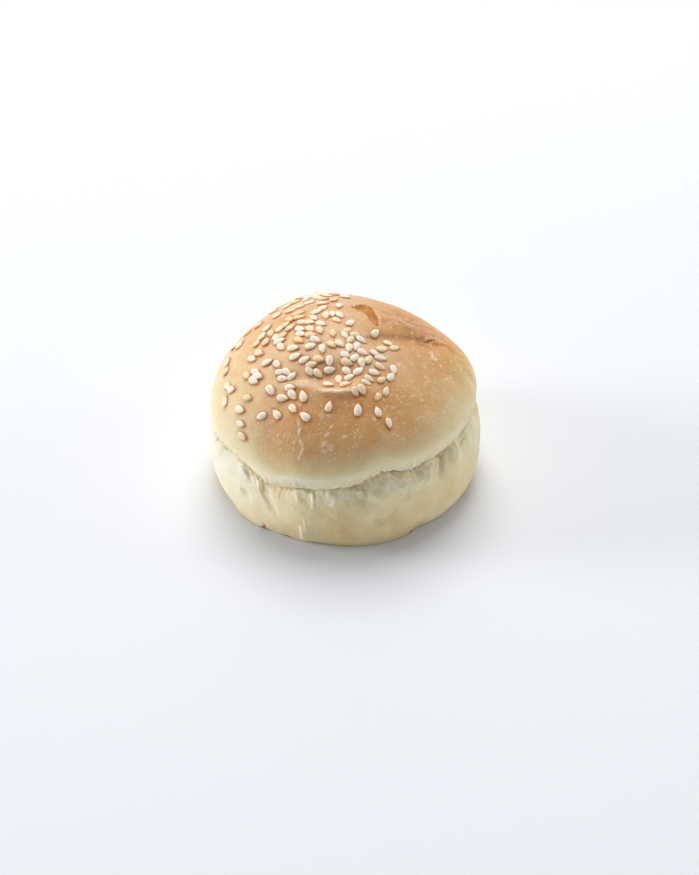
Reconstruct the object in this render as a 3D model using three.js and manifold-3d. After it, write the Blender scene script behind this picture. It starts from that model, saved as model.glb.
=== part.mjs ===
// Sesame bread roll: a small soft bun, uncut, with a browned dome of a crown, a pale doughy
// base and the torn split that runs round it between the two. Hulled sesame seeds are baked
// on to the crown, most of them on the half that faces the front left.
// Millimetres, +Z up. The origin is the middle of the underside and the front faces -Y.

import * as THREE from 'three';
import Module from 'manifold-3d';
import { mergeVertices } from 'three/addons/utils/BufferGeometryUtils.js';

// Driving dimensions, in millimetres unless they say degrees.
const rollHeight = 41.0;
const baseRadius = 32.8;
const crownRadius = 31.7;
const footRadius = 29.6;
const widestHeight = 10.0;
const splitHeight = 17.1;
const splitRise = 2.9;
const splitDepth = 3.5;
const lipHeight = 4.8;
const crownOffset = -0.8;
const crownLean = new THREE.Vector2(-1.5, 0.4);
const leanStart = 20.0;
const domePlanPower = 1.22;
const domeRisePower = 1.11;

const seedLength = 3.15;
const seedWidth = 1.85;
const seedRise = 0.98;
const seedRoot = 0.8;
const seedSink = 0.2;
const seedGap = 1.62;
const seedSizeSpread = 0.09;
const clearanceEasing = 0.985;
const seedTilt = 5;
const seedEndDrop = 0.15;
const seedSides = 6;

// Along a seed, as parts of its length from the middle: [place, part of the full width].
const seedStations = [
  [-0.27, 0.93],
  [0.14, 0.86],
];

// Spacing of the faces: from ring to ring of the crown, and along the rings.
const crownSpacing = 2.5;
const crownAround = 2.7;
const sideAround = 2.1;
const fewestAround = 6;

// Swells round the roll: [middle in degrees, spread in degrees, amount in millimetres].
const splitHeightSwells = [
  [-122, 9, -1.7],
  [-97, 14, -0.9],
  [-72, 8, 2.3],
  [-35, 14, -1.0],
  [-147, 12, 1.0],
  [62, 20, -1.3],
  [108, 12, 1.4],
  [150, 16, -0.9],
];
const splitDepthSwells = [
  [0, 28, -2.3],
  [180, 22, -1.6],
  [95, 20, 0.5],
];
const footSwells = [
  [-135, 22, 0.9],
  [-138, 14, 1.0],
  [-75, 24, 1.5],
  [-50, 20, -0.5],
  [-55, 4, -0.5],
  [-112, 5, 0.3],
];

// Slow waves in the plan of the base and the crown: [waves in a turn, phase, amount].
const baseWaves = [
  [3, 3.2, 0.12],
  [5, 2.0, 0.2],
];
const crownWaves = [
  [3, -0.5, 0.25],
  [7, 1.0, 0.15],
];

// Soft mounds and hollows of the crown, in its plan: middle, half widths, turn and height.
const crownMounds = [
  { at: [20.5, 13.5], half: [9.5, 9.5], turn: 0, height: -1.9 },
  { at: [-1.5, -14.6], half: [6.5, 2.9], turn: 5, height: -1.3 },
  { at: [15, 5], half: [6.5, 3.5], turn: 15, height: 0.9 },
  { at: [18, -8], half: [8, 5], turn: 20, height: -0.5 },
  { at: [-21, 15], half: [9, 8], turn: 0, height: -0.5 },
  { at: [-14, -22], half: [9, 4], turn: -30, height: 0.4 },
  { at: [29, -3], half: [2.5, 6], turn: 25, height: 0.4 },
  { at: [8, 10], half: [2.2, 4.5], turn: 20, height: 0.5 },
];

// Folds of the crown, in its plan. Each falls off over the behind width on the left of its
// line as it is listed, and over the front width on the right.
const crownFolds = [
  {
    line: [[10.2, -2.0], [12.5, -1.5], [14.9, -0.6], [18.5, 1.0], [22.2, 2.7]],
    height: -1.1,
    behind: 1.4,
    front: 3.4,
  },
  {
    line: [[-10.5, -15.0], [-5.8, -16.8], [-2.6, -18.2], [1.0, -18.9], [5.5, -17.9]],
    height: 0.68,
    behind: 1.1,
    front: 2.4,
  },
  {
    line: [[27.5, 2.9], [29.2, -1.5], [31.1, -3.3]],
    height: -0.8,
    behind: 1.2,
    front: 1.2,
  },
];

// Folds, pleats and dimples of the torn side, as [degrees round the roll, height] lines.
const sideFolds = [
  { line: [[-127.5, 14.9], [-125, 12.2], [-122, 8.3]], height: -0.5, behind: 1.4, front: 1.0 },
  { line: [[-138, 15.2], [-133, 14.6], [-128.5, 15.8]], height: -0.7, behind: 1.2, front: 1.6 },
  { line: [[-79, 17.8], [-78, 16.7], [-74, 14.4]], height: 0.7, behind: 1.0, front: 1.2 },
  { line: [[-80.5, 18], [-82.5, 14.5]], height: -0.8, behind: 1.0, front: 0.9 },
  { line: [[-39.5, 18], [-41.5, 16.9], [-45, 15]], height: -1.0, behind: 1.3, front: 0.9 },
  { line: [[-31, 18.3], [-31, 17.3], [-34.5, 15.6]], height: 0.8, behind: 1.1, front: 1.3 },
  { line: [[-64, 17.7], [-58, 15.8], [-52, 15.4]], height: 0.5, behind: 1.2, front: 1.0 },
  { line: [[-108, 2.2], [-107, 6]], height: 0.4, behind: 0.9, front: 1.4 },
  { line: [[-58, 0], [-58.5, 2]], height: -0.6, behind: 1.5, front: 1.5 },
  { line: [[-76, 8.2], [-75, 8.2]], height: -0.4, behind: 1.5, front: 1.5 },
  { line: [[-137, 8.2], [-136, 8.2]], height: -0.5, behind: 1.5, front: 1.5 },
  { line: [[25, 18], [31, 15.5], [34, 11]], height: -0.9, behind: 1.1, front: 1.5 },
  { line: [[58, 16], [66, 14.2], [77, 14.8]], height: 0.7, behind: 1.3, front: 1.2 },
  { line: [[101, 17], [104, 13.2]], height: -1.0, behind: 1.3, front: 1.0 },
  { line: [[137, 15], [145, 13], [148, 9.5]], height: -0.8, behind: 1.2, front: 1.6 },
];

// Shallow pleats where the dough stretched open just under the split: [pleats, phase, amount].
const stretchPleats = [
  [23, 0.4, 0.24],
  [37, 1.9, 0.16],
];

// Seeds in the crown's plan, read off the photograph to about a quarter of a millimetre:
// place, and the heading of the pointed end in degrees. From the front to the back.
const seenSeeds = [
  [11.5, -24.6, -65], [-7.5, -23, 130], [9.2, -22.9, 115], [4.8, -22.7, 85],
  [-1.8, -21.6, 75], [-10, -20.9, -60], [-14, -20.5, 115], [-22.6, -20.4, -48],
  [-17.7, -19.7, -160], [9.3, -19.7, -110], [4.5, -19.2, -70], [5.9, -18.9, -62],
  [-7.6, -18.8, 95], [-22.8, -18.5, -22], [-10, -17.9, -65], [-12.3, -17.8, -12],
  [11.3, -17.6, 80], [2.2, -16.9, 0], [7, -16.7, -15], [-1.7, -16.6, -20],
  [-10.5, -16.1, -5], [-22.8, -15.9, -30], [0.7, -15.5, -80], [7.7, -15.4, -30],
  [-15.2, -15.4, -65], [3.2, -15.1, 15], [10.5, -15, 40], [-20.8, -14.6, -32],
  [-4.2, -13.6, -50], [5.4, -13.6, 42], [12.6, -13.6, 62], [8.9, -13.5, -12],
  [-12.2, -13.5, -12], [2.6, -13.4, -45], [-10.1, -13.3, 45], [-6.1, -12.9, -65],
  [-1.3, -12.8, 12], [-11.3, -12.2, -50], [-12.7, -11.8, -12], [10.3, -11.6, -25],
  [13.2, -11.6, -80], [2.7, -11.5, -32], [6, -11.5, -75], [-5.5, -11.4, 15],
  [-19.2, -11.3, -42], [-1.4, -11, -88], [-18.2, -10.6, -35], [-26.7, -10.6, 50],
  [-3.8, -10.3, -22], [4.5, -10.1, 50], [7.6, -10.1, 65], [-7.1, -9.8, 25],
  [2.4, -9.6, -38], [-13.6, -9.5, -62], [-25, -9.3, -20], [10.4, -9, -5],
  [-18.8, -9, -35], [-21, -8.7, -65], [-9.2, -8.5, 20], [6.3, -8.4, -25],
  [9.2, -8.1, -35], [3.1, -7.7, -95], [-3, -7.7, -82], [-15.8, -7.7, 5],
  [-26, -7.4, -60], [4.8, -7, -105], [-0.8, -6.5, -48], [1.1, -6.4, -42],
  [-5.6, -6.3, 20], [10.9, -6, 25], [-9.7, -6, -12], [3.3, -5.1, -115],
  [13.8, -4.7, 25], [-4.5, -4.7, -30], [-12.6, -4.5, -60], [6, -4.5, -30],
  [-19.7, -4.3, -40], [-8.4, -3.9, -45], [2.2, -3.5, -75], [-18, -3.5, -42],
  [12.5, -3.3, -20], [4.6, -3.1, 10], [-0.6, -3.1, -80], [-5.7, -2.8, -25],
  [-13, -2.1, 10], [-8, -1.8, -38], [2.8, -1.8, 55], [-3.6, -1.7, -75],
  [-26.6, -1.4, 70], [9.3, -0.9, 55], [-5.8, -0.6, -55], [-14, -0.5, -80],
  [-12.2, -0.3, 40], [-16.4, -0.2, 85], [-8.2, 0.2, -35], [-3.3, 0.8, -32],
  [-18.7, 0.9, 60], [3.5, 1.2, 60], [-26.5, 1.7, 65], [0.3, 1.9, -50],
  [-10.5, 2, 35], [-6, 2.2, -25], [-15.3, 2.2, -75], [-7.8, 2.8, -45],
  [-17.4, 2.9, 55], [-13, 3, 45], [-11.7, 3.9, 40], [-5, 3.8, -55],
  [-2.2, 4.2, -85], [1, 4.3, -60], [-0.8, 4.8, -80], [-23.4, 5.6, 60],
  [-8.5, 5.6, -10], [-10.8, 5.8, -60], [-16.4, 6, 60], [-4.4, 6.8, 25],
  [-25, 7.5, 60], [-8.6, 7.9, 10], [-2.9, 8.6, 45], [0.8, 9.6, -100],
  [-10.8, 11, 5], [-21.9, 11, 55], [-3, 11.5, 25], [-18.9, 11.5, 50],
  [-14.2, 11.6, 45], [-8.8, 12, -10], [-6.2, 13.2, 0], [-0.4, 14, 45],
];

// Patches of seeds behind the crest. Lie is the usual heading of a seed's pointed end, and
// spread the most that a heading strays from it, both in degrees.
const seedPatches = [
  { at: [-7.5, 18.3], half: [10, 4], turn: -6, count: 20, lie: 10, spread: 60 },
];

// Tears that go through the skin: a line in the crown's plan, or round the torn side, with
// the half width at each point and the depth of the tear.
const crownTears = [
  {
    line: [[4.3, 10.2], [5.6, 10.2], [7.2, 9.0], [8.3, 6.6], [8.9, 4.2], [9.6, 1.8]],
    half: [0.7, 2.2, 1.7, 1.0, 1.1, 0.5],
    depth: 0.9,
  },
  { line: [[21.3, 2.6], [22.3, 3.7], [23.4, 4.5]], half: [0.2, 0.35, 0.2], depth: 0.5 },
];
const sideTears = [
  { line: [[-134, 15.4], [-130.5, 14.6], [-127, 13.4]], half: [0.3, 0.7, 0.35], depth: 0.5 },
  { line: [[-139, 14.6], [-136, 14.1], [-133.5, 14.5]], half: [0.2, 0.45, 0.2], depth: 0.4 },
];
const tearSides = 6;
const tearPointReach = 0.35;

const crustColour = 0xd9a566;
const crustRoughness = 0.72;

// Stages of the outline, from the middle of the underside to the top of the crown.
const footStage = 1;
const widestStage = 2;
const splitStage = 3;
const crownStage = 4;
const topStage = 5;

// Rings of the underside as [stage, points], and the stages of the rings up to the crown.
const footRings = [
  [0.25, 6],
  [0.62, 24],
];
const sideStages = [1, 1.25, 1.5, 1.75, 2, 2.25, 2.45, 2.62, 2.78, 2.9, 3, 3.25, 3.5, 3.75, 4];

// Stages over which the relief of the side and of the crown fade in and out.
const sideReliefStart = 1.0;
const sideReliefRun = 0.15;
const sideReliefEnd = 3.45;
const sideReliefFade = 0.4;
const crownReliefStart = 3.6;
const crownReliefRun = 0.6;
const stretchMiddle = 2.75;
const stretchSpread = 0.3;

const degree = Math.PI / 180;
const quarterTurn = Math.PI / 2;
const fullTurn = Math.PI * 2;
const stageStep = 0.01;
const normalReach = 0.8;
const domeSteps = 400;
const weldDistance = 1e-5;

function smoothStep(value) {
  const part = THREE.MathUtils.clamp(value, 0, 1);
  return part * part * (3 - 2 * part);
}

// Adds up the swells, each a soft bell round its middle.
function addSwells(azimuth, swells) {
  let total = 0;
  for (const [middle, spread, amount] of swells) {
    const offset = azimuth - middle * degree;
    const nearest = offset - fullTurn * Math.round(offset / fullTurn);
    total += amount * Math.exp(-((nearest / (spread * degree)) ** 2));
  }
  return total;
}

function addWaves(azimuth, waves) {
  let total = 0;
  for (const [number, phase, amount] of waves) {
    total += amount * Math.cos(number * azimuth + phase);
  }
  return total;
}

// Radius and height of the smooth form at an azimuth and a stage: a flat foot, a rounded
// lower side, a shoulder that runs in to the split, the underside of the lip, the dome.
function outlineAt(azimuth, stage) {
  const splitLevel = splitHeight + splitRise * Math.cos(azimuth)
    + addSwells(azimuth, splitHeightSwells);
  const edgeLevel = splitLevel + lipHeight;
  const foot = footRadius + addSwells(azimuth, footSwells);
  const base = baseRadius + addWaves(azimuth, baseWaves);
  const crown = crownRadius + addWaves(azimuth, crownWaves);
  const inner = crown - splitDepth - addSwells(azimuth, splitDepthSwells);
  const begin = Math.min(Math.floor(stage), crownStage);
  const angle = (stage - begin) * quarterTurn;
  const sine = THREE.MathUtils.clamp(Math.sin(angle), 0, 1);
  const cosine = THREE.MathUtils.clamp(Math.cos(angle), 0, 1);
  if (begin < footStage) {
    return [foot * stage, 0];
  }
  if (begin < widestStage) {
    return [foot + (base - foot) * sine, widestHeight * (1 - cosine)];
  }
  if (begin < splitStage) {
    const radius = inner + (base - inner) * cosine;
    return [radius, widestHeight + (splitLevel - widestHeight) * sine];
  }
  if (begin < crownStage) {
    return [inner + (crown - inner) * sine, splitLevel + lipHeight * (1 - cosine)];
  }
  const rise = (rollHeight - edgeLevel) * sine ** domeRisePower;
  return [crown * cosine ** domePlanPower, edgeLevel + rise];
}

// The smooth form as a point: the crown sits a little to the left of the base, and leans.
function formPoint(azimuth, stage) {
  const [radius, height] = outlineAt(azimuth, stage);
  const offset = crownOffset * smoothStep(stage - widestStage);
  const lean = smoothStep((height - leanStart) / (rollHeight - leanStart));
  return new THREE.Vector3(
    radius * Math.cos(azimuth) + offset + crownLean.x * lean,
    radius * Math.sin(azimuth) + crownLean.y * lean,
    height,
  );
}

function formNormal(azimuth, stage) {
  const lowest = footStage + stageStep;
  const highest = topStage - 4 * stageStep;
  const at = THREE.MathUtils.clamp(stage, lowest, highest);
  const around = formPoint(azimuth + stageStep, at).sub(formPoint(azimuth - stageStep, at));
  const upward = formPoint(azimuth, at + stageStep).sub(formPoint(azimuth, at - stageStep));
  return around.cross(upward).normalize();
}

function moundHeight(x, y, mound) {
  const dx = x - mound.at[0];
  const dy = y - mound.at[1];
  const cosine = Math.cos(mound.turn * degree);
  const sine = Math.sin(mound.turn * degree);
  const along = (dx * cosine + dy * sine) / mound.half[0];
  const across = (dy * cosine - dx * sine) / mound.half[1];
  return mound.height * Math.exp(-(along ** 2) - across ** 2);
}

// Height of a fold at a point: the nearest piece of its line gives the distance and the side.
function foldHeight(x, y, fold) {
  let nearest = Infinity;
  let width = fold.behind;
  for (let index = 1; index < fold.line.length; index += 1) {
    const [startX, startY] = fold.line[index - 1];
    const runX = fold.line[index][0] - startX;
    const runY = fold.line[index][1] - startY;
    const reach = ((x - startX) * runX + (y - startY) * runY) / (runX ** 2 + runY ** 2);
    const part = THREE.MathUtils.clamp(reach, 0, 1);
    const awayX = x - startX - part * runX;
    const awayY = y - startY - part * runY;
    const distance = Math.hypot(awayX, awayY);
    if (distance < nearest) {
      nearest = distance;
      width = runX * awayY - runY * awayX > 0 ? fold.behind : fold.front;
    }
  }
  return fold.height * Math.exp(-((nearest / width) ** 2));
}

// A side fold's line is listed in degrees and height, and measured in millimetres round
// the base, starting from the fold itself so that it never crosses the back seam.
function sideFoldHeight(azimuth, height, fold) {
  const first = fold.line[0][0] * degree;
  const offset = azimuth - first;
  const nearest = offset - fullTurn * Math.round(offset / fullTurn);
  const line = fold.line.map(([turn, level]) => [(turn * degree - first) * baseRadius, level]);
  return foldHeight(nearest * baseRadius, height, { ...fold, line });
}

// How far the real surface stands out from the smooth form.
function reliefAt(azimuth, stage) {
  const [radius, height] = outlineAt(azimuth, stage);
  const crownPart = smoothStep((stage - crownReliefStart) / crownReliefRun);
  const sidePart = smoothStep((stage - sideReliefStart) / sideReliefRun)
    * smoothStep((sideReliefEnd - stage) / sideReliefFade);
  let total = 0;
  if (crownPart > 0) {
    const x = radius * Math.cos(azimuth);
    const y = radius * Math.sin(azimuth);
    for (const mound of crownMounds) {
      total += crownPart * moundHeight(x, y, mound);
    }
    for (const fold of crownFolds) {
      total += crownPart * foldHeight(x, y, fold);
    }
  }
  if (sidePart > 0) {
    const stretch = Math.exp(-(((stage - stretchMiddle) / stretchSpread) ** 2));
    total += sidePart * stretch * addWaves(azimuth, stretchPleats);
    for (const fold of sideFolds) {
      total += sidePart * sideFoldHeight(azimuth, height, fold);
    }
  }
  return total;
}

function surfacePoint(azimuth, stage) {
  const normal = formNormal(azimuth, stage);
  return formPoint(azimuth, stage).addScaledVector(normal, reliefAt(azimuth, stage));
}

// Joins rings of points, from one closed end to the other, into a closed geometry. Rings
// may differ in number: the seam between two always steps on whichever lags behind.
function closedGeometry(rings) {
  const positions = [];
  const index = [];
  const starts = [];
  for (const ring of rings) {
    starts.push(positions.length / 3);
    for (const point of ring) {
      positions.push(point.x, point.y, point.z);
    }
  }
  for (let level = 1; level < rings.length; level += 1) {
    const lowCount = rings[level - 1].length;
    const highCount = rings[level].length;
    let low = 0;
    let high = 0;
    const lowAt = () => starts[level - 1] + (low % lowCount);
    const highAt = () => starts[level] + (high % highCount);
    const lowSteps = lowCount > 1 ? lowCount : 0;
    const highSteps = highCount > 1 ? highCount : 0;
    while (low < lowSteps || high < highSteps) {
      const lowNext = low < lowSteps ? (low + 1) / lowSteps : Infinity;
      const highNext = high < highSteps ? (high + 1) / highSteps : Infinity;
      if (lowNext <= highNext) {
        const from = lowAt();
        low += 1;
        index.push(from, lowAt(), highAt());
      } else {
        const from = highAt();
        high += 1;
        index.push(lowAt(), highAt(), from);
      }
    }
  }
  const geometry = new THREE.BufferGeometry();
  geometry.setAttribute('position', new THREE.Float32BufferAttribute(positions, 3));
  geometry.setIndex(index);
  return geometry;
}

function ringAt(stage, count) {
  const ring = [];
  for (let index = 0; index < count; index += 1) {
    ring.push(surfacePoint((index / count) * fullTurn, stage));
  }
  return ring;
}

// Stages of the dome a chosen distance apart, measured over its front.
function domeStages(spacing) {
  const stages = [];
  let travelled = 0;
  let last = formPoint(-quarterTurn, crownStage);
  for (let step = 1; step < domeSteps; step += 1) {
    const stage = crownStage + step / domeSteps;
    const point = formPoint(-quarterTurn, stage);
    travelled += point.distanceTo(last);
    last = point;
    if (travelled >= spacing) {
      stages.push(stage);
      travelled = 0;
    }
  }
  return stages;
}

function rollBody() {
  const sideCount = Math.round((fullTurn * baseRadius) / sideAround);
  const rings = [[new THREE.Vector3(0, 0, 0)]];
  for (const [stage, count] of footRings) {
    rings.push(ringAt(stage, count));
  }
  for (const stage of sideStages) {
    rings.push(ringAt(stage, sideCount));
  }
  for (const stage of domeStages(crownSpacing)) {
    const [radius] = outlineAt(-quarterTurn, stage);
    const count = Math.round((fullTurn * radius) / crownAround);
    if (count >= fewestAround) {
      rings.push(ringAt(stage, Math.min(count, sideCount)));
    }
  }
  rings.push([surfacePoint(0, topStage)]);
  return closedGeometry(rings);
}

// The stage of the dome at a distance from its axis.
function domeStageAt(azimuth, radius) {
  const [edge] = outlineAt(azimuth, crownStage);
  const cosine = Math.min(radius / edge, 1) ** (1 / domePlanPower);
  return crownStage + Math.acos(cosine) / quarterTurn;
}

// Point and outward normal of the finished crown above a place in its plan.
function crownPlace(x, y) {
  const azimuth = Math.atan2(y, x);
  const place = (px, py) => {
    const turn = Math.atan2(py, px);
    return surfacePoint(turn, domeStageAt(turn, Math.hypot(px, py)));
  };
  const outX = Math.cos(azimuth) * normalReach;
  const outY = Math.sin(azimuth) * normalReach;
  const inward = place(x - outX, y - outY).sub(place(x + outX, y + outY));
  const around = place(x - outY, y + outX).sub(place(x + outY, y - outX));
  return [place(x, y), around.cross(inward).normalize()];
}

function sidePlace(turn, height) {
  const azimuth = turn * degree;
  const [, level] = outlineAt(azimuth, splitStage);
  const sine = THREE.MathUtils.clamp((height - widestHeight) / (level - widestHeight), 0, 1);
  const stage = widestStage + Math.asin(sine) / quarterTurn;
  return [surfacePoint(azimuth, stage), formNormal(azimuth, stage)];
}

// A lens-shaped cutter that follows a tear, pointed at both ends.
function tearCutter(tear, place) {
  const points = tear.line.map(([first, second]) => place(first, second));
  const rings = [];
  for (let index = 0; index < points.length; index += 1) {
    const [point, normal] = points[index];
    const before = points[Math.max(index - 1, 0)][0];
    const after = points[Math.min(index + 1, points.length - 1)][0];
    const forward = after.clone().sub(before).normalize();
    const sideways = normal.clone().cross(forward).normalize();
    const ring = [];
    for (let corner = 0; corner < tearSides; corner += 1) {
      const angle = (corner / tearSides) * fullTurn;
      const out = point.clone()
        .addScaledVector(sideways, Math.cos(angle) * tear.half[index])
        .addScaledVector(normal, Math.sin(angle) * tear.depth);
      ring.push(out);
    }
    rings.push(ring);
  }
  const [first] = points[0];
  const [last] = points[points.length - 1];
  const start = first.clone().lerp(points[1][0], -tearPointReach);
  const end = last.clone().lerp(points[points.length - 2][0], -tearPointReach);
  return closedGeometry([[start], ...rings, [end]]);
}

// A repeatable draw between 0 and 1.
const drawFactor = 16807;
const drawModulus = 2147483647;
let drawState = 20261;
function draw() {
  drawState = (drawState * drawFactor) % drawModulus;
  return drawState / drawModulus;
}

// A seed with its own size and a slight tilt.
function seedAt(x, y, heading) {
  const size = 1 + (draw() * 2 - 1) * seedSizeSpread;
  const pitch = (draw() * 2 - 1) * seedTilt * degree;
  const roll = (draw() * 2 - 1) * seedTilt * degree;
  return { x, y, heading: heading * degree, size, pitch, roll };
}

// The seen seeds, and then seeds thrown into each patch: a throw is kept that lands clear of
// the seeds before it. The clearance eases with each miss, so that a full patch lets seeds
// touch and overlap.
function seedPlaces() {
  const places = seenSeeds.map(([x, y, heading]) => seedAt(x, y, heading));
  for (const patch of seedPatches) {
    const cosine = Math.cos(patch.turn * degree);
    const sine = Math.sin(patch.turn * degree);
    let left = patch.count;
    let clearance = seedGap;
    while (left > 0) {
      const reach = Math.sqrt(draw());
      const angle = draw() * fullTurn;
      const along = reach * Math.cos(angle) * patch.half[0];
      const across = reach * Math.sin(angle) * patch.half[1];
      const x = patch.at[0] + along * cosine - across * sine;
      const y = patch.at[1] + along * sine + across * cosine;
      if (places.some((seed) => Math.hypot(x - seed.x, y - seed.y) < clearance)) {
        clearance *= clearanceEasing;
      } else {
        places.push(seedAt(x, y, patch.lie + (draw() + draw() - 1) * patch.spread));
        left -= 1;
        clearance = seedGap;
      }
    }
  }
  return places;
}

// One seed: a flattened drop with its pointed end towards +X. Its underside is deeper than
// its top, so that it always reaches into the crust that it is baked to.
function seedGeometry() {
  const rings = [[new THREE.Vector3(-0.5 * seedLength, 0, -seedEndDrop)]];
  for (const [along, part] of seedStations) {
    const ring = [];
    for (let corner = 0; corner < seedSides; corner += 1) {
      const angle = (corner / seedSides) * fullTurn;
      const rise = Math.sin(angle) * Math.sqrt(part);
      const depth = rise < 0 ? seedRoot : seedRise;
      ring.push(new THREE.Vector3(
        along * seedLength,
        Math.cos(angle) * part * seedWidth * 0.5,
        rise * depth,
      ));
    }
    rings.push(ring);
  }
  rings.push([new THREE.Vector3(0.5 * seedLength, 0, -seedEndDrop)]);
  return closedGeometry(rings);
}

function placedSeed(seed, shape) {
  const [point, normal] = crownPlace(seed.x, seed.y);
  const heading = new THREE.Vector3(Math.cos(seed.heading), Math.sin(seed.heading), 0);
  const sideways = normal.clone().cross(heading).normalize();
  const forward = sideways.clone().cross(normal);
  const frame = new THREE.Matrix4().makeBasis(forward, sideways, normal);
  frame.multiply(new THREE.Matrix4().makeRotationY(seed.pitch));
  frame.multiply(new THREE.Matrix4().makeRotationX(seed.roll));
  frame.scale(new THREE.Vector3(seed.size, seed.size, seed.size));
  frame.setPosition(point.addScaledVector(normal, -seedSink));
  return shape.clone().applyMatrix4(frame);
}

const wasm = await Module();
wasm.setup();

// Turns a geometry into a solid for joining and cutting.
function toSolid(geometry) {
  geometry.deleteAttribute('normal');
  geometry.deleteAttribute('uv');
  const merged = mergeVertices(geometry, weldDistance);
  const mesh = new wasm.Mesh({
    numProp: 3,
    vertProperties: new Float32Array(merged.attributes.position.array),
    triVerts: new Uint32Array(merged.index.array),
  });
  return new wasm.Manifold(mesh);
}

const seedShape = seedGeometry();
const seeds = seedPlaces().map((seed) => toSolid(placedSeed(seed, seedShape)));
const tears = [
  ...crownTears.map((tear) => toSolid(tearCutter(tear, crownPlace))),
  ...sideTears.map((tear) => toSolid(tearCutter(tear, sidePlace))),
];
let rollSolid = toSolid(rollBody());
for (const tear of tears) {
  rollSolid = rollSolid.subtract(tear);
}
for (const seed of seeds) {
  rollSolid = rollSolid.add(seed);
}

const rollMesh = rollSolid.getMesh();
const rollGeometry = new THREE.BufferGeometry();
rollGeometry.setAttribute('position', new THREE.BufferAttribute(rollMesh.vertProperties, 3));
rollGeometry.setIndex(new THREE.BufferAttribute(rollMesh.triVerts, 1));
rollGeometry.computeVertexNormals();

const roll = new THREE.Mesh(rollGeometry, new THREE.MeshStandardMaterial({
  color: crustColour,
  roughness: crustRoughness,
  metalness: 0,
}));
roll.name = 'roll';

const breadRoll = new THREE.Group();
breadRoll.name = 'bread_roll';
breadRoll.add(roll);

export default breadRoll;
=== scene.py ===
# Sesame bread roll: a small uncut bun with a browned crown, a pale base and the torn
# split between them, on a plain pale table. Sizes are in millimetres until the meshes
# are made, with +Z up, the middle of the underside at the origin and the front at -Y.
import math
import bpy
import numpy as np
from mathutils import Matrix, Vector


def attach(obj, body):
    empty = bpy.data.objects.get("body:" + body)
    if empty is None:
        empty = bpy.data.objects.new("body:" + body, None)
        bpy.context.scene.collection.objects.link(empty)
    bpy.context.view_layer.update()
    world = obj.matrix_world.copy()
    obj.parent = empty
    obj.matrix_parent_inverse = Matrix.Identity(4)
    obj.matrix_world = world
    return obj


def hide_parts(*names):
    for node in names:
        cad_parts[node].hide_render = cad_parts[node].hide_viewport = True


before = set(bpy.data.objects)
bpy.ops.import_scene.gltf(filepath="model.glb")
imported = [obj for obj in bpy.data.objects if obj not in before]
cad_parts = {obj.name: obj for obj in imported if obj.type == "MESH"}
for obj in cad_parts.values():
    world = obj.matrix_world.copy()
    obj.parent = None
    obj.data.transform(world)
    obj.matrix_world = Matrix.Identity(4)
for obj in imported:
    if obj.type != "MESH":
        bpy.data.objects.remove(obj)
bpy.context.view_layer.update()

mm = 0.001
fullTurn = 2 * math.pi
quarterTurn = math.pi / 2

# the camera looks along +Y and down on the roll
photoView = {
    "lens": 102.3,  # on a 36 mm sensor, along the tall side of the picture
    "distance": 600.0,
    "lookDown": 39.0,  # degrees
    "target": (0.95, 0.0, 7.7),
    "clipStart": 10.0,
}

tableLight = {
    "tableColour": "#E7E8E9",
    "tableRoughness": 0.9,
    "tableSheen": 0.1,
    "tableSize": 6000.0,
    "worldColour": "#EDF2FF",
    "worldStrength": 0.36,
    # name: place, size across, watts, colour
    "softboxes": {
        "overheadSoftbox": ((0.0, 550.0, 1100.0), 900.0, 11.2, "#FFFFFF"),
        "leftSoftbox": ((-1200.0, 100.0, 350.0), 500.0, 8.4, "#F6F8FF"),
        "rightSoftbox": ((1200.0, 200.0, 350.0), 500.0, 2.4, "#FFFFFF"),
        "backSoftbox": ((0.0, 1100.0, 800.0), 1000.0, 2.6, "#FFFFFF"),
    },
}

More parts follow.
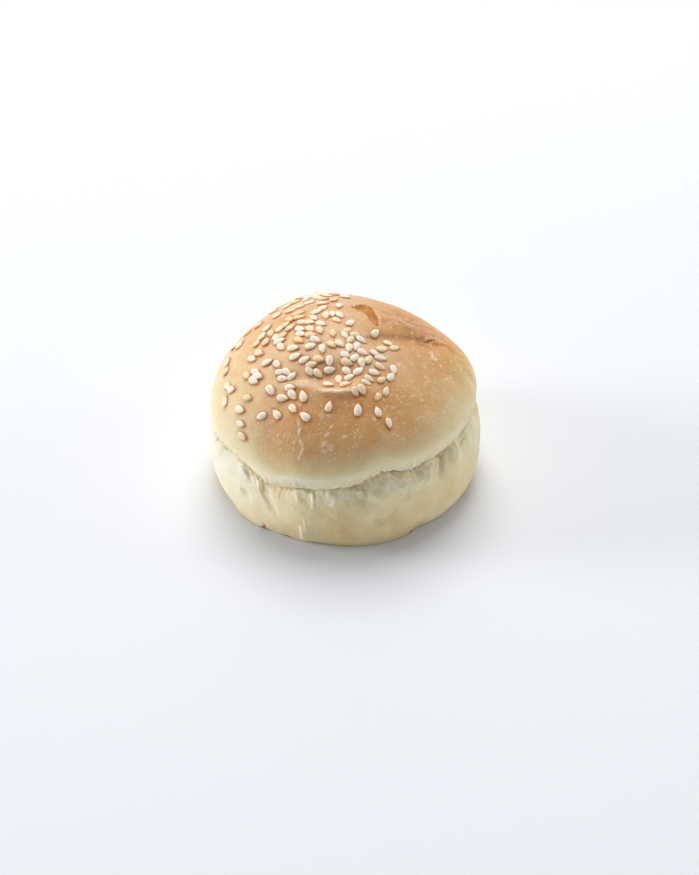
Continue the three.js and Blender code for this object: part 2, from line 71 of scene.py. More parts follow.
# the form of the roll: the outline, and what makes it uneven
rollForm = {
    "height": 41.0,
    "baseRadius": 32.8,
    "crownRadius": 31.7,
    "footRadius": 29.6,
    "widestHeight": 10.0,
    "splitHeight": 17.1,
    "splitRise": 2.9,
    "splitDepth": 3.5,
    "lipHeight": 4.8,
    "crownOffset": -0.8,
    "crownLean": (-1.5, 0.4),
    "leanStart": 20.0,
    "domePlanPower": 1.22,
    "domeRisePower": 1.11,
    # middle in degrees, spread in degrees, amount
    "splitHeightSwells": [(-122, 9, -1.7), (-97, 14, -0.9), (-72, 8, 2.3), (-35, 14, -1.0),
                          (-147, 12, 1.0), (62, 20, -1.3), (108, 12, 1.4), (150, 16, -0.9)],
    "splitDepthSwells": [(0, 28, -2.3), (180, 22, -1.6), (95, 20, 0.5)],
    "footSwells": [(-135, 22, 0.9), (-138, 14, 1.0), (-75, 24, 1.5), (-50, 20, -0.5),
                   (-55, 4, -0.5), (-112, 5, 0.3)],
    # waves in a turn, phase, amount
    "baseWaves": [(3, 3.2, 0.12), (5, 2.0, 0.2)],
    "crownWaves": [(3, -0.5, 0.25), (7, 1.0, 0.15)],
    "stretchPleats": [(23, 0.4, 0.24), (37, 1.9, 0.16)],
    # stages of the outline where the relief fades in or out, and over how much of a stage
    "crownReliefFrom": (3.6, 0.6),
    "sideReliefFrom": (1.0, 0.15),
    "sideReliefTo": (3.45, 0.4),
    "pleatsRound": (2.75, 0.3),  # middle, spread
    # middle in the crown's plan, half widths, turn, height
    "mounds": [((20.5, 13.5), (9.5, 9.5), 0, -1.9), ((-1.5, -14.6), (6.5, 2.9), 5, -1.3),
               ((15, 5), (6.5, 3.5), 15, 0.9), ((18, -8), (8, 5), 20, -0.5),
               ((-21, 15), (9, 8), 0, -0.5), ((-14, -22), (9, 4), -30, 0.4),
               ((29, -3), (2.5, 6), 25, 0.4), ((8, 10), (2.2, 4.5), 20, 0.5)],
    # line in the crown's plan, height, width behind it, width in front
    "folds": [
        ([(10.2, -2.0), (12.5, -1.5), (14.9, -0.6), (18.5, 1.0), (22.2, 2.7)], -1.1, 1.4, 3.4),
        ([(-10.5, -15.0), (-5.8, -16.8), (-2.6, -18.2), (1.0, -18.9), (5.5, -17.9)],
         0.68, 1.1, 2.4),
        ([(27.5, 2.9), (29.2, -1.5), (31.1, -3.3)], -0.8, 1.2, 1.2),
    ],
    # line in degrees round the roll and height, relief, width behind it, width in front
    "sideFolds": [
        ([(-127.5, 14.9), (-125, 12.2), (-122, 8.3)], -0.5, 1.4, 1.0),
        ([(-138, 15.2), (-133, 14.6), (-128.5, 15.8)], -0.7, 1.2, 1.6),
        ([(-79, 17.8), (-78, 16.7), (-74, 14.4)], 0.7, 1.0, 1.2),
        ([(-80.5, 18), (-82.5, 14.5)], -0.8, 1.0, 0.9),
        ([(-39.5, 18), (-41.5, 16.9), (-45, 15)], -1.0, 1.3, 0.9),
        ([(-31, 18.3), (-31, 17.3), (-34.5, 15.6)], 0.8, 1.1, 1.3),
        ([(-64, 17.7), (-58, 15.8), (-52, 15.4)], 0.5, 1.2, 1.0),
        ([(-108, 2.2), (-107, 6)], 0.4, 0.9, 1.4),
        ([(-58, 0), (-58.5, 2)], -0.6, 1.5, 1.5),
        ([(-76, 8.2), (-75, 8.2)], -0.4, 1.5, 1.5),
        ([(-137, 8.2), (-136, 8.2)], -0.5, 1.5, 1.5),
        ([(25, 18), (31, 15.5), (34, 11)], -0.9, 1.1, 1.5),
        ([(58, 16), (66, 14.2), (77, 14.8)], 0.7, 1.3, 1.2),
        ([(101, 17), (104, 13.2)], -1.0, 1.3, 1.0),
        ([(137, 15), (145, 13), (148, 9.5)], -0.8, 1.2, 1.6),
    ],
}

# stages of the outline, from the middle of the underside to the top
footStage, widestStage, splitStage, crownStage, topStage = 1, 2, 3, 4, 5


def smoothStep(value):
    part = np.clip(value, 0.0, 1.0)
    return part * part * (3 - 2 * part)


def fadeIn(value, begin, over):
    return smoothStep((value - begin) / over)


def fadeOut(value, end, over):
    return smoothStep((end - value) / over)


def bell(value):
    return np.exp(-value ** 2)


def turnAway(azimuth, middle):
    offset = azimuth - math.radians(middle)
    return offset - fullTurn * np.round(offset / fullTurn)


def addSwells(azimuth, swells):
    return sum(amount * bell(turnAway(azimuth, middle) / math.radians(spread))
               for middle, spread, amount in swells)


def addWaves(azimuth, waves):
    return sum(amount * np.cos(number * azimuth + phase) for number, phase, amount in waves)


# radius and height of the smooth form: foot, lower side, shoulder, underside of the lip, dome
def outlineAt(azimuth, stage):
    form = rollForm
    splitLevel = (form["splitHeight"] + form["splitRise"] * np.cos(azimuth)
                  + addSwells(azimuth, form["splitHeightSwells"]))
    edgeLevel = splitLevel + form["lipHeight"]
    foot = form["footRadius"] + addSwells(azimuth, form["footSwells"])
    base = form["baseRadius"] + addWaves(azimuth, form["baseWaves"])
    crown = form["crownRadius"] + addWaves(azimuth, form["crownWaves"])
    inner = crown - form["splitDepth"] - addSwells(azimuth, form["splitDepthSwells"])
    widest = form["widestHeight"]
    begin = np.minimum(np.floor(stage), crownStage)
    angle = (stage - begin) * quarterTurn
    sine = np.clip(np.sin(angle), 0.0, 1.0)
    cosine = np.clip(np.cos(angle), 0.0, 1.0)
    pick = [begin < footStage, begin < widestStage, begin < splitStage, begin < crownStage]
    radius = np.select(pick, [foot * stage, foot + (base - foot) * sine,
                              inner + (base - inner) * cosine, inner + (crown - inner) * sine],
                       crown * cosine ** form["domePlanPower"])
    height = np.select(pick, [0 * stage, widest * (1 - cosine),
                              widest + (splitLevel - widest) * sine,
                              splitLevel + form["lipHeight"] * (1 - cosine)],
                       edgeLevel + (form["height"] - edgeLevel) * sine ** form["domeRisePower"])
    return radius, height


# the crown sits a little to the left of the base, and leans
def formPoints(azimuth, stage):
    form = rollForm
    radius, height = outlineAt(azimuth, stage)
    offset = form["crownOffset"] * smoothStep(stage - widestStage)
    lean = smoothStep((height - form["leanStart"]) / (form["height"] - form["leanStart"]))
    return np.stack([radius * np.cos(azimuth) + offset + form["crownLean"][0] * lean,
                     radius * np.sin(azimuth) + form["crownLean"][1] * lean,
                     height], axis=-1)


def formNormals(azimuth, stage):
    step, shy = 0.01, 0.04  # in stages: for the slope, and short of the very top
    at = np.clip(stage, footStage + step, topStage - shy)
    around = formPoints(azimuth + step, at) - formPoints(azimuth - step, at)
    upward = formPoints(azimuth, at + step) - formPoints(azimuth, at - step)
    normal = np.cross(around, upward)
    return normal / np.linalg.norm(normal, axis=-1, keepdims=True)


def moundHeight(x, y, mound):
    (middleX, middleY), (halfAlong, halfAcross), turn, height = mound
    cosine, sine = math.cos(math.radians(turn)), math.sin(math.radians(turn))
    dx, dy = x - middleX, y - middleY
    along = (dx * cosine + dy * sine) / halfAlong
    across = (dy * cosine - dx * sine) / halfAcross
    return height * np.exp(-along ** 2 - across ** 2)


# distance from a line, which side of it, and how far along it, for every point at once
def nearLine(x, y, line):
    nearest = np.full(x.shape, np.inf)
    side = np.ones(x.shape)
    along = np.zeros(x.shape)
    for index, ((startX, startY), (endX, endY)) in enumerate(zip(line, line[1:])):
        runX, runY = endX - startX, endY - startY
        part = ((x - startX) * runX + (y - startY) * runY) / (runX ** 2 + runY ** 2)
        part = np.clip(part, 0.0, 1.0)
        awayX, awayY = x - startX - part * runX, y - startY - part * runY
        distance = np.hypot(awayX, awayY)
        closer = distance < nearest
        nearest = np.where(closer, distance, nearest)
        side = np.where(closer, runX * awayY - runY * awayX, side)
        along = np.where(closer, index + part, along)
    return nearest, side, along


def foldHeight(x, y, fold):
    line, height, behind, front = fold
    nearest, side, _ = nearLine(x, y, line)
    return height * bell(nearest / np.where(side > 0, behind, front))


# side lines are listed in degrees and height, and measured in mm round the base
def besideLine(azimuth, height, line):
    first = line[0][0]
    radius = rollForm["baseRadius"]
    flat = [(math.radians(turn - first) * radius, level) for turn, level in line]
    return turnAway(azimuth, first) * radius, height, flat


# the relief that the solid has too
def mainRelief(azimuth, stage):
    form = rollForm
    radius, height = outlineAt(azimuth, stage)
    x, y = radius * np.cos(azimuth), radius * np.sin(azimuth)
    crownPart = fadeIn(stage, *form["crownReliefFrom"])
    sidePart = fadeIn(stage, *form["sideReliefFrom"]) * fadeOut(stage, *form["sideReliefTo"])
    crown = sum(moundHeight(x, y, mound) for mound in form["mounds"])
    crown = crown + sum(foldHeight(x, y, fold) for fold in form["folds"])
    middle, spread = form["pleatsRound"]
    side = bell((stage - middle) / spread) * addWaves(azimuth, form["stretchPleats"])
    for line, *fall in form["sideFolds"]:
        across, level, flat = besideLine(azimuth, height, line)
        side = side + foldHeight(across, level, (flat, *fall))
    return crownPart * crown + sidePart * side


# whole numbers that stir a cell's place and a noise's number into a random value
stirFactors = (73856093, 19349663, 83492791, 2654435761)
stirRounds = ((13, 1274126177), (16, 668265263))
stirShift = 15
stirMask, stirHalf = 0xFFFFFFFF, 0x7FFFFFFF

# each noise has its own number, so that no two are alike
noiseNumber = {"skin": 10, "wobble": 20, "tears": 21, "side": 30, "tornEdge": 40,
               "fibreDrift": 41, "fibres": 42, "fineFibres": 43, "fibrePatches": 44,
               "lumps": 45, "fineLumps": 46, "bake": 50, "shreds": 54, "patches": 60}


# smooth random values between -1 and 1 on a grid of cells of a given size
def softNoise(points, size, number):
    place = points / size
    cell = np.floor(place).astype(np.int64)
    part = smoothStep(place - cell)
    total = np.zeros(len(points))
    for corner in range(8):
        step = np.array([corner & 1, corner >> 1 & 1, corner >> 2 & 1])
        mixed = 0
        for value, factor in zip((*(cell + step).T, number), stirFactors):
            mixed = mixed ^ (value * factor)
        for shift, factor in stirRounds:
            mixed = (mixed ^ (mixed >> shift)) * factor & stirMask
        value = (mixed ^ (mixed >> stirShift)) / stirHalf - 1
        weight = np.prod(np.where(step, part, 1 - part), axis=1)
        total += weight * value
    return total


def layeredNoise(points, size, layers, number):
    return sum(softNoise(points, size / 2 ** layer, number + layer) / 2 ** layer
               for layer in range(layers))


# a repeatable draw between 0 and 1, the same one that the solid uses for its seeds
class SeedDraw:
    factor = 16807
    modulus = 2147483647

    def __init__(self, state):
        self.state = state

    def next(self):
        self.state = self.state * self.factor % self.modulus
        return self.state / self.modulus


def hexToLinear(code):
    parts = [int(code[start:start + 2], 16) / 255 for start in (1, 3, 5)]
    return [part / 12.92 if part <= 0.04045 else ((part + 0.055) / 1.055) ** 2.4
            for part in parts]


def opaque(code):
    return (*hexToLinear(code), 1.0)


# a colour mix has several sockets of one name, so these are its numbers
mixAmount, mixFirst, mixSecond, mixResult = 0, 6, 7, 2


# adds a node: each setting is a property, a socket's value, or an output to link to the socket
def addNode(tree, kind, settings):
    node = tree.nodes.new("ShaderNode" + kind)
    for name, value in settings.items():
        if isinstance(value, bpy.types.NodeSocket):
            tree.links.new(value, node.inputs[name])
        elif isinstance(name, str) and hasattr(node, name):
            setattr(node, name, value)
        else:
            node.inputs[name].default_value = value
    return node


def newMaterial(name):
    material = bpy.data.materials.new(name)
    material.use_nodes = True
    material.node_tree.nodes.clear()
    return material, material.node_tree


def setRamp(node, stops):
    elements = node.color_ramp.elements
    while len(elements) < len(stops):
        elements.new(1.0)
    for element, (place, code) in zip(elements, stops):
        element.position = place
        element.color = opaque(code)


def newMesh(name, points, faces):
    mesh = bpy.data.meshes.new(name)
    mesh.from_pydata(points, [], faces)
    mesh.update()
    mesh.polygons.foreach_set("use_smooth", [True] * len(mesh.polygons))
    piece = bpy.data.objects.new(name, mesh)
    bpy.context.scene.collection.objects.link(piece)
    return piece


def addMask(piece, name, values):
    mask = piece.data.attributes.new(name, "FLOAT", "POINT")
    mask.data.foreach_set("value", np.asarray(values, dtype=np.float32))


# joins rings of points, given as their numbers, into triangles from one end to the other
def stitchRings(counts):
    starts = np.concatenate([[0], np.cumsum(counts)])
    faces = []
    for level in range(1, len(counts)):
        lowCount, highCount = counts[level - 1], counts[level]
        lowStart, highStart = int(starts[level - 1]), int(starts[level])
        lowSteps = lowCount if lowCount > 1 else 0
        highSteps = highCount if highCount > 1 else 0
        low = high = 0
        while low < lowSteps or high < highSteps:
            lowNext = (low + 1) / lowSteps if low < lowSteps else math.inf
            highNext = (high + 1) / highSteps if high < highSteps else math.inf
            lowAt, highAt = lowStart + low % lowCount, highStart + high % highCount
            if lowNext <= highNext:
                low += 1
                faces.append((lowAt, lowStart + low % lowCount, highAt))
            else:
                high += 1
                faces.append((lowAt, highStart + high % highCount, highAt))
    return faces


# hulled sesame seeds, baked on to the crown
sesame = {
    "length": 3.15,
    "width": 1.85,
    "thickness": 1.12,
    "lift": 0.13,
    "gap": 1.62,
    "gapEasing": 0.985,
    "sizeSpread": 0.09,
    "tilt": 5.0,
    "drawState": 20261,
    "around": 14,
    "stations": 13,
    "roundEnd": 0.72,  # below 1, the widest place is nearer the round end
    "flatness": 0.9,
    # where the tan of the rim (toasting, with painted shade on the seed's lower side) and of the
    # point, and the painted shade of a hollow middle that the seed's form lacks, begin and over
    # what
    "rimTanAndShadeFade": (-0.02, 0.68),
    "pointFade": (0.8, 0.2),
    "pointTan": 0.5,
    "middleShadeFade": (0.7, 0.25),
    # painted contact shade round a seed: how far it is looked for, where it begins, its width
    "contactShadeSearch": 3,
    "contactShadeFrom": 0.92,
    "contactShadeWidth": 0.34,
    # seeds that show in front of the crest: place in the crown's plan, and heading
    "seen": [
        (11.5, -24.6, -65), (-7.5, -23, 130), (9.2, -22.9, 115), (4.8, -22.7, 85),
        (-1.8, -21.6, 75), (-10, -20.9, -60), (-14, -20.5, 115), (-22.6, -20.4, -48),
        (-17.7, -19.7, -160), (9.3, -19.7, -110), (4.5, -19.2, -70), (5.9, -18.9, -62),
        (-7.6, -18.8, 95), (-22.8, -18.5, -22), (-10, -17.9, -65), (-12.3, -17.8, -12),
        (11.3, -17.6, 80), (2.2, -16.9, 0), (7, -16.7, -15), (-1.7, -16.6, -20),
        (-10.5, -16.1, -5), (-22.8, -15.9, -30), (0.7, -15.5, -80), (7.7, -15.4, -30),
        (-15.2, -15.4, -65), (3.2, -15.1, 15), (10.5, -15, 40), (-20.8, -14.6, -32),
        (-4.2, -13.6, -50), (5.4, -13.6, 42), (12.6, -13.6, 62), (8.9, -13.5, -12),
        (-12.2, -13.5, -12), (2.6, -13.4, -45), (-10.1, -13.3, 45), (-6.1, -12.9, -65),
        (-1.3, -12.8, 12), (-11.3, -12.2, -50), (-12.7, -11.8, -12), (10.3, -11.6, -25),
        (13.2, -11.6, -80), (2.7, -11.5, -32), (6, -11.5, -75), (-5.5, -11.4, 15),
        (-19.2, -11.3, -42), (-1.4, -11, -88), (-18.2, -10.6, -35), (-26.7, -10.6, 50),
        (-3.8, -10.3, -22), (4.5, -10.1, 50), (7.6, -10.1, 65), (-7.1, -9.8, 25),
        (2.4, -9.6, -38), (-13.6, -9.5, -62), (-25, -9.3, -20), (10.4, -9, -5),
        (-18.8, -9, -35), (-21, -8.7, -65), (-9.2, -8.5, 20), (6.3, -8.4, -25),
        (9.2, -8.1, -35), (3.1, -7.7, -95), (-3, -7.7, -82), (-15.8, -7.7, 5),
        (-26, -7.4, -60), (4.8, -7, -105), (-0.8, -6.5, -48), (1.1, -6.4, -42),
        (-5.6, -6.3, 20), (10.9, -6, 25), (-9.7, -6, -12), (3.3, -5.1, -115),
        (13.8, -4.7, 25), (-4.5, -4.7, -30), (-12.6, -4.5, -60), (6, -4.5, -30),
        (-19.7, -4.3, -40), (-8.4, -3.9, -45), (2.2, -3.5, -75), (-18, -3.5, -42),
        (12.5, -3.3, -20), (4.6, -3.1, 10), (-0.6, -3.1, -80), (-5.7, -2.8, -25),
        (-13, -2.1, 10), (-8, -1.8, -38), (2.8, -1.8, 55), (-3.6, -1.7, -75),
        (-26.6, -1.4, 70), (9.3, -0.9, 55), (-5.8, -0.6, -55), (-14, -0.5, -80),
        (-12.2, -0.3, 40), (-16.4, -0.2, 85), (-8.2, 0.2, -35), (-3.3, 0.8, -32),
        (-18.7, 0.9, 60), (3.5, 1.2, 60), (-26.5, 1.7, 65), (0.3, 1.9, -50),
        (-10.5, 2, 35), (-6, 2.2, -25), (-15.3, 2.2, -75), (-7.8, 2.8, -45),
        (-17.4, 2.9, 55), (-13, 3, 45), (-11.7, 3.9, 40), (-5, 3.8, -55),
        (-2.2, 4.2, -85), (1, 4.3, -60), (-0.8, 4.8, -80), (-23.4, 5.6, 60),
        (-8.5, 5.6, -10), (-10.8, 5.8, -60), (-16.4, 6, 60), (-4.4, 6.8, 25),
        (-25, 7.5, 60), (-8.6, 7.9, 10), (-2.9, 8.6, 45), (0.8, 9.6, -100),
        (-10.8, 11, 5), (-21.9, 11, 55), (-3, 11.5, 25), (-18.9, 11.5, 50),
        (-14.2, 11.6, 45), (-8.8, 12, -10), (-6.2, 13.2, 0), (-0.4, 14, 45),
    ],
    # seeds behind it: middle, half widths, turn, count, usual heading, spread of heading
    "patches": [((-7.5, 18.3), (10, 4), -6, 20, 10, 60)],
}


# the same draw, in the same order, as the solid's seeds
def seedPlaces():
    draw = SeedDraw(sesame["drawState"])
    places = []

    def addSeed(x, y, heading):
        size = 1 + (draw.next() * 2 - 1) * sesame["sizeSpread"]
        pitch = (draw.next() * 2 - 1) * math.radians(sesame["tilt"])
        roll = (draw.next() * 2 - 1) * math.radians(sesame["tilt"])
        places.append((x, y, math.radians(heading), size, pitch, roll))

    for x, y, heading in sesame["seen"]:
        addSeed(x, y, heading)
    for (atX, atY), (halfAlong, halfAcross), turn, count, lie, spread in sesame["patches"]:
        cosine, sine = math.cos(math.radians(turn)), math.sin(math.radians(turn))
        left, clearance = count, sesame["gap"]
        while left > 0:
            reach = math.sqrt(draw.next())
            angle = draw.next() * fullTurn
            along = reach * math.cos(angle) * halfAlong
            across = reach * math.sin(angle) * halfAcross
            x = atX + along * cosine - across * sine
            y = atY + along * sine + across * cosine
            if any(math.hypot(x - seed[0], y - seed[1]) < clearance for seed in places):
                clearance *= sesame["gapEasing"]
            else:
                addSeed(x, y, lie + (draw.next() + draw.next() - 1) * spread)
                left -= 1
                clearance = sesame["gap"]
    return places


# the crust: one closed skin over crown, split and base, with finer relief than the solid
crustDetail = {
    "footRings": [(0.0, 1), (0.1, 24), (0.3, 60), (0.6, 140), (0.85, 260)],
    "sideSpacing": 0.31,
    "crownSpacing": 0.36,
    "around": 0.36,
    "fewestAround": 6,
    "samples": 2000,  # along the outline, to space the rings evenly
    # size across, depth
    "unevenness": [(9.0, 0.15), (3.2, 0.05), (1.2, 0.03)],
    "sideUnevenness": [(5.0, 0.2), (2.2, 0.15), (1.0, 0.07)],
    "sideInset": 0.25,
    # stages of the outline where the crown and the side begin or end, and over how much
    "crownFrom": (3.95, 0.15),
    "sideFrom": (1.0, 0.2),
    "sideTo": (3.3, 0.2),
    "crownPointsFrom": 3.9,
    # painted shade: a slightly darker band along the seam under the lip
    "seamShadeRound": (3.2, 0.45),  # middle, spread
    # steam blisters under the skin, over the part of the crown that was seen
    "blisters": {
        "drawState": 733,
        "count": 190,
        "radius": (0.14, 0.36),
        "smallShare": 2.2,  # above 1, more of them are small
        "rise": 0.06,
        "turn": (-130, 45),  # degrees
        "reach": 30.5,
        "clearMiddle": 0.12,
        "whiteness": (0.15, 0.7, 1.5),  # least, range, share of faint ones
    },
    "blisterRing": (0.24, 0.6),  # width of the ring, and of the pit in parts of its radius
    # a mark's reach in half widths, blunt ends, taper and uneven width
    "markReach": 4,
    "markEnds": 0.06,
    "markTaper": 0.4,
    "markWobble": 0.3,
    "wobbleSize": 0.9,
    # marks of the crown, in its plan: line, half width, rise, whiteness (below 0: deeper colour,
    # which is painted shade in folds and creases)
    "crownMarks": [
        # the next four marks are painted light on the front ledge: a painted highlight along its
        # top edge, then painted shade in front of it
        ([(-3.8, -18.1), (0.2, -18.7), (3.8, -18.7)], 0.34, 0.42, 1.6),
        ([(-4.5, -19.3), (-0.5, -20.1), (3.5, -20.4), (6.5, -19.6)], 0.9, -0.25, -0.65),
        ([(-9.8, -15.6), (-8.0, -16.3), (-5.8, -16.9)], 0.3, 0.14, 0.2),
        ([(-10.5, -16.6), (-7.5, -17.7), (-5.0, -18.9)], 0.7, -0.12, -0.3),
        ([(3.3, -2.5), (5.8, -3.0), (8.0, -2.5)], 0.26, 0.22, 0.6),
        ([(15.1, 2.9), (15.3, -0.8), (14.8, -3.7)], 0.35, 0.12, 0.0),
        ([(10.4, -0.6), (15.4, 0.9), (18.6, 2.4), (21.5, 3.9)], 0.36, 0.14, 0.0),
        ([(17.3, 3.2), (18.6, 1.4), (19.1, 0.2)], 0.3, 0.14, 0.1),
        ([(-9.0, -23.4), (-8.9, -24.2)], 0.2, 0.12, 0.9),
        ([(-8.7, -24.7), (-8.9, -25.3), (-9.2, -26.5)], 0.24, 0.18, 1.0),
        ([(-9.0, -26.9), (-8.3, -27.7)], 0.2, 0.16, 0.8),
        ([(-8.4, -28.2), (-9.5, -29.2)], 0.22, 0.16, 0.8),
        ([(-3.1, -26.9), (-2.2, -26.5)], 0.18, 0.12, 0.8),
        ([(-1.9, -25.6), (-1.2, -25.3)], 0.18, 0.12, 0.9),
        ([(-4.3, -28.5), (-3.4, -28.1), (-2.6, -28.3)], 0.34, 0.16, 0.6),
        ([(-3.9, -29.1), (-3.1, -29.2)], 0.3, 0.1, 0.4),
        ([(-2.6, -28.8), (-2.0, -29.1)], 0.24, 0.1, 0.5),
        ([(1.0, -27.3), (1.8, -27.1)], 0.18, 0.12, 0.8),
        ([(4.6, -27.6), (5.3, -27.4)], 0.2, 0.06, 0.35),
        ([(13.8, -18.9), (15.4, -17.6)], 0.2, 0.07, 0.4),
        ([(16.8, -17.2), (17.6, -16.5)], 0.2, 0.08, 0.45),
        ([(12.3, -21.3), (13.2, -20.6)], 0.2, 0.06, 0.35),
        ([(14.4, -9.6), (15.1, -8.9)], 0.26, 0.09, 0.6),
        ([(24.6, -9.4), (25.6, -8.2)], 0.24, 0.09, 0.4),
        ([(20.4, -12.3), (21.3, -11.1)], 0.22, 0.08, 0.35),
        # painted shade in the crease on the right of the crown
        ([(26.8, 3.6), (28.6, -0.9), (30.4, -2.9)], 0.4, -0.12, -0.25),
    ],
    # paler skin: middle in the crown's plan, half widths, turn, amount
    "palerPatches": [((-1, -5), (9, 9), 0, 0.28), ((8, -9), (5, 4), 0, 0.2),
                   ((-8, 10), (8, 6), 0, 0.08), ((-14, -7), (8, 12), 0, 0.26),
                   ((-24, 0), (6, 16), 0, 0.14), ((-7, 18), (12, 7), 0, 0.6),
                   ((1, 7), (6, 7), 0, 0.14), ((-2, -16.5), (8, 1.8), 0, 0.16),
                   ((8, -10), (4, 4), 0, 0.12), ((15, -7), (5, 7), 0, 0.14)],
    # burst blisters: middle, ring radius, ring rise, depth of the pit, whiteness of the ring
    "burstBlisters": [((22.8, -3.9), 0.5, 0.16, 0.2, 0.8),
                      ((16.4, -14.2), 0.42, 0.03, 0.3, 0.1), ((-1.8, -28.7), 0.3, 0.06, 0.03, 0.3),
                      ((15.8, -13.4), 0.3, 0.02, 0.14, 0.0),
                      ((9.5, -27.0), 0.5, 0.04, 0.02, 0.15), ((22.3, -2.6), 0.35, 0.05, 0.1, 0.5)],
    # a tear's walls and dark edge in parts of its half width, and its curled rim in mm
    "tearWall": (1.05, 0.35),
    "tearEdge": (1.15, 0.12),
    "tearRim": (0.18, 0.26),  # how far out, width
    "tearRimEnd": 1.2,
    "tearRimRise": 0.13,
    "tearRimPaleness": 0.45,
    "tearStart": 0.02,
    "tearWobble": 0.12,
    "tearWobbleSize": 2.0,
    # tears through the skin of the crown: line, half widths along it, depth
    "crownTears": [
        ([(4.3, 10.2), (5.6, 10.2), (7.2, 9.0), (8.3, 6.6), (8.9, 4.2), (9.6, 1.8)],
         [0.7, 2.2, 1.7, 1.0, 1.1, 0.5], 0.75),
        ([(21.3, 2.6), (22.3, 3.7), (23.4, 4.5)], [0.2, 0.35, 0.2], 0.4),
    ],
    # the same on the side, as degrees and height
    "sideTears": [
        ([(-134, 15.4), (-130.5, 14.6), (-127, 13.4)], [0.25, 0.6, 0.3], 0.2),
        ([(-139, 14.6), (-136, 14.1), (-133.5, 14.5)], [0.2, 0.4, 0.2], 0.16),
    ],
    # marks of the side, as degrees and stage of the outline: as for the crown. Below 0 the deeper
    # colour is painted shade in pits, grooves and folds, and whiteness above 1 is pale dough with
    # painted glints on the strands
    "sideMarks": [
        ([(-127.2, 3.0), (-127.6, 2.75), (-126.6, 2.3), (-125.4, 2.05), (-122.6, 1.86)],
         0.45, -0.26, -0.7),
        # the next seven marks fill the seam a little, and where they are whiter this is painted
        # light against the shade under the lip
        ([(-141.0, 3.08), (-133.0, 3.1), (-125.0, 3.06)], 1.6, 0.5, 0.0),
        ([(-124.0, 3.0), (-99.0, 2.98), (-82.0, 3.0)], 2.2, 1.0, 0.1),
        ([(-110.0, 2.7), (-97.0, 2.66), (-84.0, 2.7)], 2.2, 0.95, 0.35),
        ([(-102.0, 2.86), (-92.0, 2.82), (-82.0, 2.86)], 1.8, 0.5, 0.1),
        ([(-142.0, 2.86), (-130.0, 2.84), (-116.0, 2.88)], 1.6, 0.3, 0.1),
        ([(-144.0, 2.66), (-134.0, 2.62), (-124.0, 2.7)], 1.9, 0.6, 0.2),
        ([(-36.0, 2.96), (-24.0, 2.95), (-10.0, 2.98)], 1.8, 0.35, 0.1),
        ([(-129.0, 2.7), (-129.0, 2.4), (-128.0, 2.15)], 0.45, 0.3, 0.6),
        ([(-143.0, 2.86), (-141.4, 2.74)], 0.35, -0.3, -0.6),
        ([(-138.6, 2.72), (-137.0, 2.62), (-135.4, 2.84)], 0.4, -0.18, -0.5),
        ([(-136.4, 2.6), (-134.8, 2.44)], 0.35, -0.14, -0.4),
        ([(-132.6, 2.6), (-131.8, 2.4)], 0.35, 0.25, 0.6),
        ([(-117.2, 2.96), (-114.0, 2.9), (-110.0, 2.94)], 0.35, -0.08, -0.25),
        ([(-96.2, 2.84), (-93.2, 2.72), (-90.0, 2.86)], 0.4, -0.1, -0.45),
        ([(-92.4, 2.62), (-93.8, 2.46), (-95.4, 2.34)], 0.3, 0.75, 2.0),
        ([(-103.4, 2.8), (-102.7, 2.5), (-103.3, 2.24)], 0.3, 0.75, 2.0),
        ([(-101.2, 2.72), (-100.6, 2.56), (-101.4, 2.4)], 0.3, 0.36, 1.1),
        ([(-110.2, 2.66), (-109.4, 2.42)], 0.3, 0.26, 0.9),
        ([(-79.6, 2.96), (-79.0, 2.7), (-77.0, 2.5), (-75.0, 2.36)], 0.45, -0.3, -0.5),
        ([(-78.0, 2.94), (-77.2, 2.72), (-75.0, 2.52)], 0.34, 0.42, 1.0),
        ([(-75.4, 2.8), (-73.4, 2.66), (-73.2, 2.5)], 0.34, 0.3, 0.9),
        ([(-66.0, 2.86), (-62.0, 2.64), (-57.5, 2.56)], 0.36, 0.34, 0.9),
        ([(-56.0, 2.9), (-52.5, 2.66), (-48.0, 2.58)], 0.36, 0.34, 0.9),
        ([(-37.4, 2.94), (-38.4, 2.76), (-40.4, 2.6), (-43.0, 2.42)], 0.5, -0.5, -0.7),
        ([(-36.0, 2.94), (-37.0, 2.74), (-39.4, 2.56), (-42.0, 2.4)], 0.34, 0.34, 0.9),
        ([(-33.0, 2.86), (-33.2, 2.7), (-35.6, 2.56)], 0.4, 0.3, 0.8),
        ([(-28.4, 2.68), (-25.0, 2.72), (-22.0, 2.77), (-17.8, 2.79)], 0.34, 0.3, 1.0),
        ([(-27.0, 2.62), (-22.0, 2.7)], 0.3, -0.22, -0.5),
        ([(-118.5, 2.7), (-119.5, 2.5), (-119.0, 2.3)], 0.3, 0.26, 0.7),
        ([(-113.8, 2.74), (-114.6, 2.56)], 0.3, 0.2, 0.6),
        ([(-86.6, 2.76), (-85.6, 2.58), (-86.4, 2.44)], 0.3, 0.28, 0.7),
        ([(-83.0, 2.8), (-81.6, 2.6)], 0.3, 0.26, 0.7),
        ([(-69.6, 2.9), (-68.4, 2.72), (-66.8, 2.62)], 0.3, 0.28, 0.8),
        ([(-60.6, 2.9), (-59.2, 2.76), (-56.6, 2.7)], 0.3, 0.28, 0.8),
        ([(-50.4, 2.9), (-48.6, 2.78), (-46.0, 2.7)], 0.3, 0.28, 0.8),
        ([(-64.0, 2.5), (-59.5, 2.36), (-55.0, 2.34)], 0.4, 0.26, 0.8),
        ([(-70.5, 2.62), (-67.5, 2.46), (-64.5, 2.42)], 0.32, 0.28, 0.9),
        ([(-73.0, 2.5), (-70.0, 2.36)], 0.3, 0.24, 0.8),
        ([(-58.0, 2.56), (-54.5, 2.48), (-52.0, 2.36)], 0.3, 0.28, 0.9),
